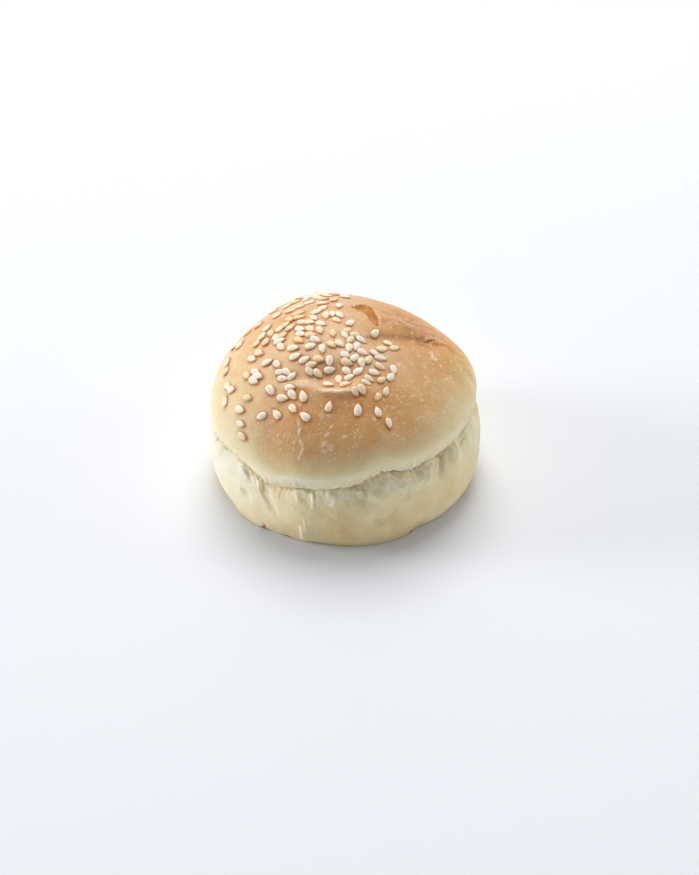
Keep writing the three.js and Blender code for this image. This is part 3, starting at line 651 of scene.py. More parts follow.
        ([(-89.0, 2.5), (-88.2, 2.3)], 0.34, -0.14, -0.6),
        ([(-98.4, 2.62), (-98.8, 2.44)], 0.3, -0.22, -0.8),
        ([(-105.4, 2.62), (-105.8, 2.4)], 0.3, -0.2, -0.7),
        ([(-108.4, 1.76), (-108.0, 1.48)], 0.34, 0.3, 1.2),
        ([(-107.0, 1.92), (-106.4, 1.74)], 0.34, 0.16, 0.7),
        ([(-137.8, 1.92), (-136.0, 1.87)], 0.8, -0.28, -0.5),
        ([(-77.2, 1.9), (-75.6, 1.86)], 0.75, -0.3, -0.6),
        ([(-65.0, 2.2), (-63.0, 2.24)], 0.55, -0.25, -0.6),
        ([(-70.6, 1.98), (-69.2, 2.06)], 0.5, -0.16, -0.4),
        ([(22.0, 2.9), (27.0, 2.6), (31.0, 2.3)], 0.5, -0.4, -0.7),
        ([(52.0, 2.9), (50.0, 2.6), (47.0, 2.4)], 0.4, 0.3, 0.8),
        ([(88.0, 2.86), (92.0, 2.6), (93.0, 2.3)], 0.45, -0.4, -0.6),
        ([(118.0, 2.8), (121.0, 2.62), (122.0, 2.4)], 0.35, 0.32, 0.9),
        ([(4.0, 2.9), (6.0, 2.7), (5.0, 2.5)], 0.32, 0.3, 0.9),
        ([(11.0, 2.84), (12.0, 2.66)], 0.3, 0.26, 0.8),
        ([(38.0, 2.9), (40.0, 2.7), (43.0, 2.6)], 0.34, 0.32, 0.9),
        ([(61.0, 2.86), (60.0, 2.62), (61.5, 2.44)], 0.32, 0.3, 0.9),
        ([(74.0, 2.9), (73.0, 2.7)], 0.3, 0.26, 0.8),
        ([(104.0, 2.9), (105.0, 2.68), (108.0, 2.56)], 0.32, 0.32, 1.0),
        ([(136.0, 2.86), (138.0, 2.64), (137.0, 2.46)], 0.32, 0.3, 0.9),
        ([(176.0, 2.9), (178.0, 2.7), (177.0, 2.54)], 0.3, 0.28, 0.8),
        ([(66.0, 2.0), (68.0, 1.94)], 0.8, -0.28, -0.5),
        ([(141.0, 1.86), (143.0, 1.9)], 0.7, -0.26, -0.5),
        ([(14.0, 2.1), (16.0, 2.04)], 0.6, -0.2, -0.4),
        ([(154.0, 2.9), (158.0, 2.6), (166.0, 2.5)], 0.45, -0.35, -0.6),
        ([(-168.0, 2.84), (-165.0, 2.6), (-166.0, 2.4)], 0.4, 0.3, 0.7),
    ],
    # how far down the side the dough tore open: lowest stage, and swells of it in degrees
    "tornFrom": 2.62,
    "tornFade": 0.22,
    "tornTo": (3.98, 0.3),
    "tornRaggedness": (2.5, 0.08),  # size across, amount
    "tornSwells": [(-62, 24, -0.38), (-92, 8, -0.1), (-104, 6, -0.12), (-135, 10, -0.15),
                   (40, 18, -0.3), (95, 20, -0.25), (150, 18, -0.3), (-20, 12, 0.05)],
    # tan and floury places of the side: degrees, spread, stage, spread, amount. On the left of the
    # roll, below -125°, the floury ones are painted light: the brightly lit side made whiter
    "tanPatches": [(-92, 9, 1.75, 0.55, 0.9), (-74, 11, 1.6, 0.5, 0.45),
                   (-58, 9, 1.85, 0.45, 0.45), (-106, 12, 1.9, 0.6, 0.3), (-124, 8, 1.5, 0.3, 0.35),
                   (-138, 14, 4.02, 0.09, 0.6), (-70, 9, 4.03, 0.1, 0.6),
                   (-140, 6, 1.25, 0.2, 0.7), (-42, 7, 1.9, 0.35, 0.7),
                   (-24, 9, 1.7, 0.6, 0.6), (-60, 12, 1.3, 0.3, 0.5), (-112, 5, 1.5, 0.3, 0.4),
                   (-70, 3, 1.9, 0.12, 0.6), (-129, 3, 2.2, 0.2, 0.5), (-10, 7, 2.0, 0.8, 0.4),
                   (35, 14, 1.7, 0.5, 0.7), (78, 9, 2.0, 0.3, 0.6), (120, 15, 1.6, 0.4, 0.8),
                   (165, 8, 1.9, 0.4, 0.6), (-172, 7, 1.5, 0.3, 0.5)],
    # the patches at -156°, -168° and -135° are painted light on the lit left side
    "flouryAndLitPatches": [(-156, 28, 2.4, 0.8, 1.0), (-168, 10, 3.9, 0.14, 0.7),
                      (-108, 20, 3.92, 0.2, 0.8), (-14, 9, 2.3, 0.5, 0.35),
                      (-135, 8, 2.6, 0.35, 0.5), (170, 20, 2.6, 0.5, 0.5),
                      (60, 14, 2.6, 0.4, 0.4), (100, 8, 2.3, 0.4, 0.5)],
    "patchRaggedness": (3.0, 0.35),  # size across, amount
    "fibreWidth": 0.7,
    "fibreLength": 4.0,
    "fibreDepth": 0.46,
    "fibreSharpness": 3,
    "fibreBed": 0.6,  # how much of the fibres lies below the torn face
    "fibreDrift": (3.0, 0.02),  # size across, amount
    "fineFibres": (1.9, 0.6),  # how much finer, how strong
    "fibrePatches": (4.0, 0.9, 0.35),  # size across, contrast, least
    "crumbLumps": (2.1, 0.55),  # size across, depth
    "lumpsTo": (3.4, 0.3),
    # shreds of the bottom crust show up to this stage, where they are this brown
    "bottomTo": 1.35,
    "bottomBrown": 0.5,
}
sidePerStage = 10.0  # mm of the side for a stage of the outline


# stages from one place in the outline to another, a chosen distance apart
def spacedStages(begin, end, spacing):
    fine = np.linspace(begin, end, crustDetail["samples"])
    points = formPoints(np.full(fine.shape, -quarterTurn), fine)
    run = np.concatenate([[0], np.cumsum(np.linalg.norm(np.diff(points, axis=0), axis=1))])
    count = max(int(round(run[-1] / spacing)), 1)
    return np.interp(np.linspace(0, run[-1], count + 1), run, fine)


def crustGrid():
    stages = [stage for stage, _ in crustDetail["footRings"]]
    counts = [count for _, count in crustDetail["footRings"]]
    side = list(spacedStages(footStage, crownStage, crustDetail["sideSpacing"]))
    dome = list(spacedStages(crownStage, topStage, crustDetail["crownSpacing"]))[1:-1]
    for stage in side + dome:
        radius, _ = outlineAt(np.array([-quarterTurn]), np.array([stage]))
        stages.append(stage)
        count = int(round(fullTurn * radius[0] / crustDetail["around"]))
        counts.append(max(count, crustDetail["fewestAround"]))
    stages.append(float(topStage))
    counts.append(1)
    azimuth = np.concatenate([np.arange(count) / count * fullTurn for count in counts])
    stage = np.concatenate([np.full(count, stage) for stage, count in zip(stages, counts)])
    return azimuth, stage, counts


# adds marks: each is a soft line, pointed at both ends, that rises or sinks
def addMarks(relief, tint, x, y, marks, wobble):
    ends = crustDetail["markEnds"]
    for line, half, rise, whiteness in marks:
        xs, ys = zip(*line)
        reach = crustDetail["markReach"] * half
        near = ((x > min(xs) - reach) & (x < max(xs) + reach)
                & (y > min(ys) - reach) & (y < max(ys) + reach))
        distance, _, along = nearLine(x[near], y[near], line)
        taper = 1.0
        if len(line) > 2:
            part = np.clip(along / (len(line) - 1), ends, 1 - ends)
            taper = np.sin(math.pi * part) ** crustDetail["markTaper"]
        width = half * taper * (1 + crustDetail["markWobble"] * wobble[near])
        part = bell(distance / width) * taper
        relief[near] += rise * part
        tint[near] += whiteness * part


# a tear through the skin: steep ragged walls, a floor and a slightly curled rim
def addTears(relief, wound, tint, x, y, tears, wobble):
    detail = crustDetail
    rimOut, rimWidth = detail["tearRim"]
    for line, halves, depth in tears:
        distance, side, along = nearLine(x, y, line)
        half = np.interp(along, range(len(halves)), halves) * (1 + detail["tearWobble"] * wobble)
        inside = fadeOut(distance / half, *detail["tearWall"])
        rim = bell((distance - half - rimOut) / rimWidth) * (along > detail["tearStart"])
        rim = rim * (distance < half + detail["tearRimEnd"])
        relief += detail["tearRimRise"] * rim - depth * inside
        wound += fadeOut(distance / half, *detail["tearEdge"])
        tint += detail["tearRimPaleness"] * rim * (1 - inside) * (side > 0)


def addBlisters(relief, tint, x, y, crownPart):
    blisters = crustDetail["blisters"]
    draw = SeedDraw(blisters["drawState"])
    smallest, largest = blisters["radius"]
    firstTurn, lastTurn = (math.radians(turn) for turn in blisters["turn"])
    faintest, spread, faintShare = blisters["whiteness"]
    clear = blisters["clearMiddle"]
    for _ in range(blisters["count"]):
        turn = firstTurn + (lastTurn - firstTurn) * draw.next()
        reach = blisters["reach"] * math.sqrt(clear + (1 - clear) * draw.next())
        radius = smallest + (largest - smallest) * draw.next() ** blisters["smallShare"]
        whiteness = faintest + spread * draw.next() ** faintShare
        atX, atY = math.cos(turn) * reach, math.sin(turn) * reach
        near = (np.abs(x - atX) < 2 * radius) & (np.abs(y - atY) < 2 * radius)
        part = bell(np.hypot(x[near] - atX, y[near] - atY) / radius) * crownPart[near]
        relief[near] += blisters["rise"] * part
        tint[near] += whiteness * part
    ringWidth, pitShare = crustDetail["blisterRing"]
    for (atX, atY), radius, rise, pit, whiteness in crustDetail["burstBlisters"]:
        distance = np.where(crownPart < 1, np.inf, np.hypot(x - atX, y - atY))
        ring = bell((distance - radius) / ringWidth)
        relief += rise * ring - pit * bell(distance / (pitShare * radius))
        tint += whiteness * ring


# how strongly each point of the side is torn, and how much its fibres stand out
def tornSide(azimuth, stage, smooth):
    detail = crustDetail
    size, amount = detail["tornRaggedness"]
    lowest = detail["tornFrom"] + addSwells(azimuth, detail["tornSwells"])
    lowest = lowest + amount * softNoise(smooth, size, noiseNumber["tornEdge"])
    torn = fadeIn(stage, lowest, detail["tornFade"]) * fadeOut(stage, *detail["tornTo"])
    reach = rollForm["baseRadius"]
    size, amount = detail["fibreDrift"]
    drift = azimuth + amount * softNoise(smooth, size, noiseNumber["fibreDrift"])
    stretched = np.stack([np.cos(drift) * reach / detail["fibreWidth"],
                          np.sin(drift) * reach / detail["fibreWidth"],
                          stage * sidePerStage / detail["fibreLength"]], axis=1)
    sharpness = detail["fibreSharpness"]
    finer, strength = detail["fineFibres"]
    strands = (1 - np.abs(softNoise(stretched, 1.0, noiseNumber["fibres"]))) ** sharpness
    fine = (1 - np.abs(softNoise(stretched * finer, 1.0, noiseNumber["fineFibres"]))) ** sharpness
    strands = strands + strength * fine - detail["fibreBed"]
    size, contrast, least = detail["fibrePatches"]
    patchy = smoothStep(0.5 + contrast * softNoise(smooth, size, noiseNumber["fibrePatches"]))
    strands = strands * (least + (1 - least) * patchy)
    size, depth = detail["crumbLumps"]
    lumps = depth * (0.5 - np.abs(softNoise(smooth, size, noiseNumber["lumps"]))
                     - 0.5 * np.abs(softNoise(smooth, size / 2, noiseNumber["fineLumps"])))
    lumps = lumps * fadeOut(stage, *detail["lumpsTo"])
    return torn, strands, torn * (detail["fibreDepth"] * strands + lumps)


def sidePatches(azimuth, stage, smooth, patches):
    size, unevenness = crustDetail["patchRaggedness"]
    ragged = 1 + unevenness * layeredNoise(smooth, size, 3, noiseNumber["patches"])
    return sum(amount * bell(turnAway(azimuth, middle) / math.radians(spread))
               * bell((stage - at) / high) for middle, spread, at, high, amount in patches) * ragged


# how brown the oven made each point: the dome takes the heat and its lower edge stays pale
bakeShape = {
    "paleStage": 3.99,
    "run": 0.2,
    "runSwells": [(-72, 14, -0.015), (-121, 10, -0.035), (-24, 24, 0.12), (-155, 22, 0.05),
                  (180, 30, 0.08)],
    "steepness": 1.15,
    "raggedness": (6.0, 0.02),  # size across, amount
    "full": 0.82,  # how brown a fully baked place is, on the scale of the colours
    # browner and paler places: middle in the crown's plan, half widths, turn, change
    "patches": [((22, 11), (9, 9), 0, 0.22), ((22, -3), (8, 9), 0, 0.09),
                ((-4, -5), (16, 15), 0, -0.17), ((-13, -15), (6, 5), -20, -0.13),
                ((-23, -4), (5, 10), 0, 0.18), ((7, -17), (3, 3), 0, -0.14),
                ((7, -10), (4, 3), 0, -0.06), ((2, -21.5), (7, 2.2), 3, 0.1),
                ((-9, -24.5), (6, 3), -15, 0.06), ((12, 3.5), (6, 2.2), 20, 0.08),
                ((-4, 22), (12, 7), 0, 0.04), ((-22, 12), (7, 9), 0, 0.12),
                ((-9, 9), (8, 8), 0, 0.13), ((7, -3), (3.5, 3.5), 0, 0.12)],
    # the browned bottom crust, and where shreds of it show: degrees, spread, height in stages
    "bottomShreds": [(-127.5, 2.2, 0.36), (-115.5, 4.5, 0.16), (-23.5, 2.0, 0.2), (-59, 3.0, 0.1),
                     (44, 3.0, 0.16), (101, 4.0, 0.2), (163, 2.5, 0.2)],
    "shredRaggedness": (0.8, 0.5),
    "shredEdge": 0.03,
    # painted light: the brightly lit left of the dome is made paler by taking off part of its bake:
    # x from and to, and how much of the bake is taken off
    "litSidePaling": (-28.0, -12.0, 0.3),
}


def bakeOf(azimuth, stage, smooth):
    shape = bakeShape
    size, amount = shape["raggedness"]
    run = shape["run"] + addSwells(azimuth, shape["runSwells"])
    level = stage - shape["paleStage"] + amount * layeredNoise(smooth, size, 3, noiseNumber["bake"])
    bake = 1 - np.exp(-(np.maximum(level, 0) / run) ** shape["steepness"])
    begin, end, loss = shape["litSidePaling"]
    bake = bake * (1 - loss * (1 - fadeIn(smooth[:, 0], begin, end - begin)))
    radius, _ = outlineAt(azimuth, stage)
    x, y = radius * np.cos(azimuth), radius * np.sin(azimuth)
    changes = sum(moundHeight(x, y, patch) for patch in shape["patches"])
    bake = bake * (shape["full"] + changes)
    shreds = sum(bell(turnAway(azimuth, middle) / math.radians(spread)) * reach
                 for middle, spread, reach in shape["bottomShreds"])
    size, amount = shape["shredRaggedness"]
    shreds = shreds * (1 + amount * softNoise(smooth, size, noiseNumber["shreds"]))
    bottom = smoothStep((footStage + shreds - stage) / shape["shredEdge"] + 0.5)
    return np.maximum(bake, bottom)


def crownPoints(x, y):
    azimuth, radius = np.arctan2(y, x), np.hypot(x, y)
    edge, _ = outlineAt(azimuth, np.full(x.shape, float(crownStage)))
    cosine = np.minimum(radius / edge, 1) ** (1 / rollForm["domePlanPower"])
    stage = crownStage + np.arccos(cosine) / quarterTurn
    relief = mainRelief(azimuth, stage)[:, None]
    return formPoints(azimuth, stage) + formNormals(azimuth, stage) * relief


# point and outward normal of the finished crown above places in its plan
def crownPlaces(x, y):
    reach = 0.8
    azimuth = np.arctan2(y, x)
    outX, outY = np.cos(azimuth) * reach, np.sin(azimuth) * reach
    inward = crownPoints(x - outX, y - outY) - crownPoints(x + outX, y + outY)
    around = crownPoints(x - outY, y + outX) - crownPoints(x + outY, y - outX)
    normal = np.cross(around, inward)
    return crownPoints(x, y), normal / np.linalg.norm(normal, axis=1, keepdims=True)


# where each seed lies: its place, the way it points, sideways and outward
def seedFrames():
    places = seedPlaces()
    x = np.array([seed[0] for seed in places])
    y = np.array([seed[1] for seed in places])
    frames = []
    for spot, normal, (_, _, heading, *_) in zip(*crownPlaces(x, y), places):
        sideways = np.cross(normal, [math.cos(heading), math.sin(heading), 0])
        sideways /= np.linalg.norm(sideways)
        frames.append((spot, np.cross(sideways, normal), sideways, normal))
    return places, frames


# painted contact shade: a soft ring of orange-brown colour on the crust where each seed touches it
def seedContactShade(points):
    contactShade = np.zeros(len(points))
    for (_, _, _, size, _, _), (spot, forward, sideways, _) in zip(*seedFrames()):
        away = points - spot
        near = np.abs(away).max(axis=1) < sesame["contactShadeSearch"]
        along = away[near] @ forward / (0.5 * sesame["length"] * size)
        across = away[near] @ sideways / (0.5 * sesame["width"] * size)
        beyond = np.maximum(np.hypot(along, across) - sesame["contactShadeFrom"], 0)
        beyond = beyond * 0.5 * sesame["width"]
        contactShade[near] = np.maximum(contactShade[near], bell(beyond / sesame["contactShadeWidth"]))
    return contactShade


def makeCrust():
    detail = crustDetail
    azimuth, stage, counts = crustGrid()
    radius, height = outlineAt(azimuth, stage)
    smooth = formPoints(azimuth, stage)
    crownPart = fadeIn(stage, *detail["crownFrom"])
    sidePart = fadeIn(stage, *detail["sideFrom"]) * fadeOut(stage, *detail["sideTo"])
    x, y = radius * np.cos(azimuth), radius * np.sin(azimuth)
    relief = mainRelief(azimuth, stage)
    for number, (size, depth) in enumerate(detail["unevenness"], noiseNumber["skin"]):
        relief = relief + depth * softNoise(smooth, size, number) * smoothStep(stage - footStage)
    wobble = softNoise(smooth, detail["wobbleSize"], noiseNumber["wobble"])

    tint, wound = np.zeros(x.shape), np.zeros(x.shape)
    onCrown = stage > detail["crownPointsFrom"]
    crownRelief, crownTint, crownWound = (np.zeros(onCrown.sum()) for _ in range(3))
    crownX, crownY = x[onCrown], y[onCrown]
    addBlisters(crownRelief, crownTint, crownX, crownY, crownPart[onCrown])
    addMarks(crownRelief, crownTint, crownX, crownY, detail["crownMarks"], wobble[onCrown])
    addTears(crownRelief, crownWound, crownTint, crownX, crownY, detail["crownTears"],
             softNoise(smooth[onCrown], detail["tearWobbleSize"], noiseNumber["tears"]))
    relief[onCrown] += crownRelief
    tint[onCrown] += crownTint
    tint += crownPart * sum(moundHeight(x, y, patch) for patch in detail["palerPatches"])
    wound[onCrown] += crownWound

    reach = rollForm["baseRadius"]
    onSide = (stage > footStage) & (stage < detail["sideTo"][0])
    sideRelief, sideTint, sideWound = (np.zeros(onSide.sum()) for _ in range(3))
    for line, half, rise, whiteness in detail["sideMarks"]:
        middle = line[0][0]
        flat = [(math.radians(turn - middle) * reach, at * sidePerStage) for turn, at in line]
        across = turnAway(azimuth[onSide], middle) * reach
        addMarks(sideRelief, sideTint, across, stage[onSide] * sidePerStage,
                 [(flat, half, rise, whiteness)], wobble[onSide])
    for line, halves, depth in detail["sideTears"]:
        across, level, flat = besideLine(azimuth[onSide], height[onSide], line)
        addTears(sideRelief, sideWound, sideTint, across, level, [(flat, halves, depth)],
                 wobble[onSide])
    relief[onSide] += sideRelief * sidePart[onSide]
    tint[onSide] += sideTint
    wound[onSide] += sideWound

    torn, strands, ragged = tornSide(azimuth, stage, smooth)
    relief = relief + ragged
    for number, (size, depth) in enumerate(detail["sideUnevenness"], noiseNumber["side"]):
        relief = relief + depth * softNoise(smooth, size, number) * sidePart
    relief = relief - detail["sideInset"] * sidePart
    points = smooth + formNormals(azimuth, stage) * relief[:, None]
    points[:, 2] = np.where(stage <= footStage, 0.0, np.maximum(points[:, 2], 0.0))
    piece = newMesh("crust", points * mm, stitchRings(counts))
    bake = bakeOf(azimuth, stage, smooth)
    brownBottom = (stage < detail["bottomTo"]) * (bake > detail["bottomBrown"])
    seamAt, seamSpread = detail["seamShadeRound"]
    masks = {
        "bake": bake,
        "torn": torn,
        "tan": np.clip(sidePatches(azimuth, stage, smooth, detail["tanPatches"]), 0, 1),
        "flouryAndLit": np.clip(sidePatches(azimuth, stage, smooth, detail["flouryAndLitPatches"]), 0, 1),
        "seamShade": bell((stage - seamAt) / seamSpread),
        "strand": torn * np.clip(strands, -1, 1),
        # pale skin, flakes and strands, with painted highlights on the ledge, painted glints on the
        # strands and painted light on the seam fillers
        "paleSkinAndHighlight": np.clip(tint, 0, 1),
        # painted shade in grooves, pits and creases, and the real brown of the bottom crust
        "shadeAndBottomCrust": np.clip(-tint + brownBottom, 0, 1),
        "wound": np.clip(wound, 0, 1),
        "contactShade": seedContactShade(points) * crownPart,
    }
    for name, values in masks.items():
        addMask(piece, name, values)
    return piece


# an egg-free bread crust, browned by dry oven heat: satin tan skin, pale stretched dough
# below it and matt torn crumb in the split. Light goes a little way in everywhere.
crustLook = {
    "colours": {
        "paleDough": "#FDEDBE",
        "tanDough": "#E9CD90",
        # whiter dough: floury in places, and painted light on the lit left side
        "flouryAndLitDough": "#FFF7E0",
        "tornCrumb": "#FCEEC8",
        "seamShadeDough": "#F8E8C0",
        "strandDough": "#FFF6DC",
        "whitishSkin": "#F6E8CC",
        "shadeDough": "#EBD699",
        "crustShadeAndBottom": "#B0784C",
        "woundDough": "#FAEBBA",
        "woundCrust": "#AE6818",
        "woundCrumb": "#CC8C40",
        # orange painted contact shade where the seeds touch the crust
        "seedContactShade": "#C97A24",
    },
    "bakeStops": [(0.0, "#F8ECC6"), (0.2, "#F0DDAA"), (0.4, "#E1C48E"), (0.62, "#D5A66B"),
                  (0.82, "#D09757"), (1.0, "#AE7847")],
    # what makeCrust gives each point of the mesh
    "masks": ["bake", "torn", "tan", "flouryAndLit", "seamShade", "strand", "paleSkinAndHighlight", "shadeAndBottomCrust", "wound",
              "contactShade"],
    # size of the features in mm, detail, stretch up and down
    "noises": {
        "mottles": (3.0, 4.0, 1.0),
        "grain": (0.5, 3.0, 1.0),
        "blotches": (5.5, 2.0, 1.0),
        "speckGroups": (1.1, 0.0, 1.0),
        "creaseWaves": (1.8, 2.0, 1.0),
        "creaseGroups": (2.6, 1.0, 1.0),
        "fibres": (0.55, 2.0, 0.4),
    },
    "noiseRoughness": 0.55,
    "speckGap": 1.3,
    # what a value is read from, and where it is 0 and 1
    "ranges": {
        "baked": ("bake", 0.0, 0.12),
        "mottle": ("mottles", 0.3, 0.7),
        "woundMottle": ("mottle", 0.2, 0.8),
        "blotch": ("blotches", 0.5, 0.72),
        "speck": ("speckCells", 0.24, 0.13),
        "speckPlace": ("speckGroups", 0.4, 0.5),
        "creaseRise": ("creaseWaves", 0.472, 0.5),
        "creaseFall": ("creaseWaves", 0.528, 0.5),
        "creasePlace": ("creaseGroups", 0.5, 0.62),
        "strandLight": ("strand", 0.2, 0.8),
        # painted shade between the torn strands
        "strandGapShade": ("strand", 0.0, -0.35),
        "fibreLight": ("fibres", 0.52, 0.72),
        # painted shade in the grooves of the fine fibres
        "fibreGrooveShade": ("fibres", 0.48, 0.3),
    },
    # value, how it is worked out, and from what
    "sums": [
        ("blotch", "MULTIPLY", "blotch", 0.4),
        ("tan", "MAXIMUM", "tan", "blotch"),
        ("mottleHeat", "MULTIPLY_ADD", "mottle", 0.26, -0.13),
        ("heat", "MULTIPLY_ADD", "grain", 0.5, -0.25),
        ("heat", "ADD", "heat", "mottleHeat"),
        ("heat", "MULTIPLY_ADD", "heat", "bake", "bake"),
        ("speck", "MULTIPLY", "speck", "speckPlace"),
        ("speck", "MULTIPLY", "speck", "bake"),
        ("crease", "MINIMUM", "creaseRise", "creaseFall"),
        ("crease", "MULTIPLY", "crease", "creasePlace"),
        ("crease", "MULTIPLY", "crease", "bake"),
        ("paleSpeck", "MULTIPLY", "speck", 0.85),
        ("paleCrease", "MULTIPLY", "crease", 0.62),
        ("paleSkinAndHighlight", "MAXIMUM", "paleSkinAndHighlight", "paleSpeck"),
        ("paleSkinAndHighlight", "MAXIMUM", "paleSkinAndHighlight", "paleCrease"),
        ("ragged", "MULTIPLY_ADD", "torn", 0.8, 0.2),
        ("pale", "SUBTRACT", 1.0, "baked"),
        ("ragged", "MULTIPLY", "ragged", "pale"),
        ("fibreLight", "MULTIPLY", "fibreLight", "ragged"),
        ("fibreGrooveShade", "MULTIPLY", "fibreGrooveShade", "ragged"),
        ("height", "MULTIPLY_ADD", "speck", 0.5, "grain"),
        ("height", "MULTIPLY_ADD", "crease", 0.5, "height"),
        ("raggedFibre", "MULTIPLY", "fibres", "ragged"),
        ("height", "MULTIPLY_ADD", "raggedFibre", 2.2, "height"),
    ],
    # colours that differ on dough and on crust: colour, what turns it, from, to
    "blends": [
        ("paleSkinAndHighlightColour", "baked", "strandDough", "whitishSkin"),
        # painted shade on dough and on crust, and the brown bottom crust
        ("shadeAndBottomColour", "baked", "shadeDough", "crustShadeAndBottom"),
        ("crumb", "woundMottle", "woundCrust", "woundCrumb"),
        ("inside", "baked", "woundDough", "crumb"),
    ],
    # layers over the pale dough, lowest first: where, how strong, colour
    "layers": [
        ("tan", 1.0, "tanDough"),
        ("torn", 0.8, "tornCrumb"),
        # whiter dough, floury, and painted light on the lit left side
        ("flouryAndLit", 1.0, "flouryAndLitDough"),
        # painted shade along the seam
        ("seamShade", 0.6, "seamShadeDough"),
        ("baked", 1.0, "browned"),
        # painted contact shade round the seeds
        ("contactShade", 0.66, "seedContactShade"),
        # pale skin and strands, with painted highlights
        ("paleSkinAndHighlight", 0.95, "paleSkinAndHighlightColour"),
        # painted shade in grooves and pits, and the brown bottom crust
        ("shadeAndBottomCrust", 0.7, "shadeAndBottomColour"),
        ("wound", 1.0, "inside"),
        ("strandLight", 1.0, "strandDough"),
        # painted shade in the strand gaps and the fibre grooves
        ("strandGapShade", 0.3, "shadeDough"),
        ("fibreLight", 0.6, "strandDough"),
        ("fibreGrooveShade", 0.5, "shadeDough"),
    ],
    "bumpStrength": 0.8,
    "bumpHeight": 0.2,
    "roughCrust": 0.5,
    "roughCrumb": 0.72,
    "ior": 1.45,
    "sheen": 0.38,
    "scatter": 0.3,
    "scatterDepth": 0.9,
    "scatterRadius": (1.0, 0.62, 0.34),
}


def crustMaterial():
    look = crustLook
    material, tree = newMaterial("bakedCrust")
    made = {name: opaque(code) for name, code in look["colours"].items()}
    for name in look["masks"]:
        mask = addNode(tree, "Attribute", {"attribute_name": name})
        made[name] = mask.outputs["Fac"]
    place = addNode(tree, "TexCoord", {}).outputs["Object"]
    for name, (size, detail, stretch) in look["noises"].items():
        turned = addNode(tree, "Mapping", {"Vector": place, "Scale": (1.0, 1.0, stretch)})
        noise = addNode(tree, "TexNoise", {
            "Vector": turned.outputs["Vector"], "Scale": 1 / (size * mm), "Detail": detail,
            "Roughness": look["noiseRoughness"]})
        made[name] = noise.outputs["Fac"]
    cells = addNode(tree, "TexVoronoi", {"Vector": place, "Scale": 1 / (look["speckGap"] * mm)})
    made["speckCells"] = cells.outputs["Distance"]
    for name, (source, low, high) in look["ranges"].items():
        node = addNode(tree, "MapRange", {"Value": made[source], "From Min": low,
                                          "From Max": high})
        made[name] = node.outputs["Result"]
    for name, operation, *values in look["sums"]:
        settings = {number: made.get(value, value) for number, value in enumerate(values)}
        made[name] = addNode(tree, "Math", {"operation": operation, **settings}).outputs[0]

    ramp = addNode(tree, "ValToRGB", {"Fac": made["heat"]})
    setRamp(ramp, look["bakeStops"])
    made["browned"] = ramp.outputs["Color"]
    for name, amount, first, second in look["blends"]:
        mix = addNode(tree, "Mix", {"data_type": "RGBA", mixAmount: made[amount],
                                    mixFirst: made[first], mixSecond: made[second]})
        made[name] = mix.outputs[mixResult]
    colour = made["paleDough"]
    for name, strength, over in look["layers"]:
        amount = addNode(tree, "Math", {"operation": "MULTIPLY", 0: made[name], 1: strength})
        mix = addNode(tree, "Mix", {"data_type": "RGBA", mixAmount: amount.outputs[0],
                                    mixFirst: colour, mixSecond: made[over]})
        colour = mix.outputs[mixResult]

    bump = addNode(tree, "Bump", {"Strength": look["bumpStrength"],
                                  "Distance": look["bumpHeight"] * mm, "Height": made["height"]})
    rough = addNode(tree, "MapRange", {"Value": made["baked"], "To Min": look["roughCrumb"],
                                       "To Max": look["roughCrust"]})
    skin = addNode(tree, "BsdfPrincipled", {
        "Base Color": colour, "Roughness": rough.outputs["Result"], "IOR": look["ior"],
        "Specular IOR Level": look["sheen"], "Subsurface Weight": look["scatter"],
        "Subsurface Radius": look["scatterRadius"],
        "Subsurface Scale": look["scatterDepth"] * mm, "Normal": bump.outputs["Normal"]})
    addNode(tree, "OutputMaterial", {"Surface": skin.outputs["BSDF"]})
    return material


print("making the crust")
crust = makeCrust()
crust.data.materials.append(crustMaterial())
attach(crust, "root")
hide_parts("roll")


# one seed as rings from its round end to its point, at the origin, and where it is tan: the point,
# and the rim, which is also painted shade on its lower side, with painted shade in the middle
def seedShape():
    stations = np.linspace(0, 1, sesame["stations"])
    around = np.arange(sesame["around"]) / sesame["around"] * fullTurn
    points, rimTanAndShade, middleShade, counts = [], [], [], []
    for part in stations:
        bulge = 0
        if 0 < part < 1:
            bulge = math.sin(math.pi * part ** sesame["roundEnd"]) ** ((1 + part) / 2)
        width = bulge * sesame["width"] / 2
        depth = bulge ** sesame["flatness"] * sesame["thickness"] / 2
        count = 1 if bulge == 0 else len(around)
        for angle in around[:count]:
            points.append(((part - 0.5) * sesame["length"], math.cos(angle) * width,
                           math.sin(angle) * depth))
            top = math.sin(angle) * bulge
            rimTanAndShade.append(1 - fadeIn(top, *sesame["rimTanAndShadeFade"])
                        + sesame["pointTan"] * fadeIn(part, *sesame["pointFade"]))
            middleShade.append(fadeIn(top, *sesame["middleShadeFade"]))
        counts.append(count)
    return np.array(points), np.clip(rimTanAndShade, 0, 1), middleShade, counts


def makeSeeds():
    shape, rimTanAndShade, middleShade, counts = seedShape()
    seedFaces = np.array(stitchRings(counts))
    places, frames = seedFrames()
    points, faces = [], []
    for number, (_, _, _, size, pitch, roll) in enumerate(places):
        spot, forward, sideways, normal = frames[number]
        local = shape * size
        cosine, sine = math.cos(roll), math.sin(roll)
        local = local @ np.array([[1, 0, 0], [0, cosine, sine], [0, -sine, cosine]])
        cosine, sine = math.cos(pitch), math.sin(pitch)
        local = local @ np.array([[cosine, 0, -sine], [0, 1, 0], [sine, 0, cosine]])
        turned = local @ np.array([forward, sideways, normal])
        points.append(turned + spot + normal * sesame["lift"])
        faces.append(seedFaces + number * len(shape))
    piece = newMesh("sesameSeeds", np.concatenate(points) * mm,
                    np.concatenate(faces).tolist())
    addMask(piece, "rim", np.tile(rimTanAndShade, len(places)))
    addMask(piece, "middle", np.tile(middleShade, len(places)))
    return piece


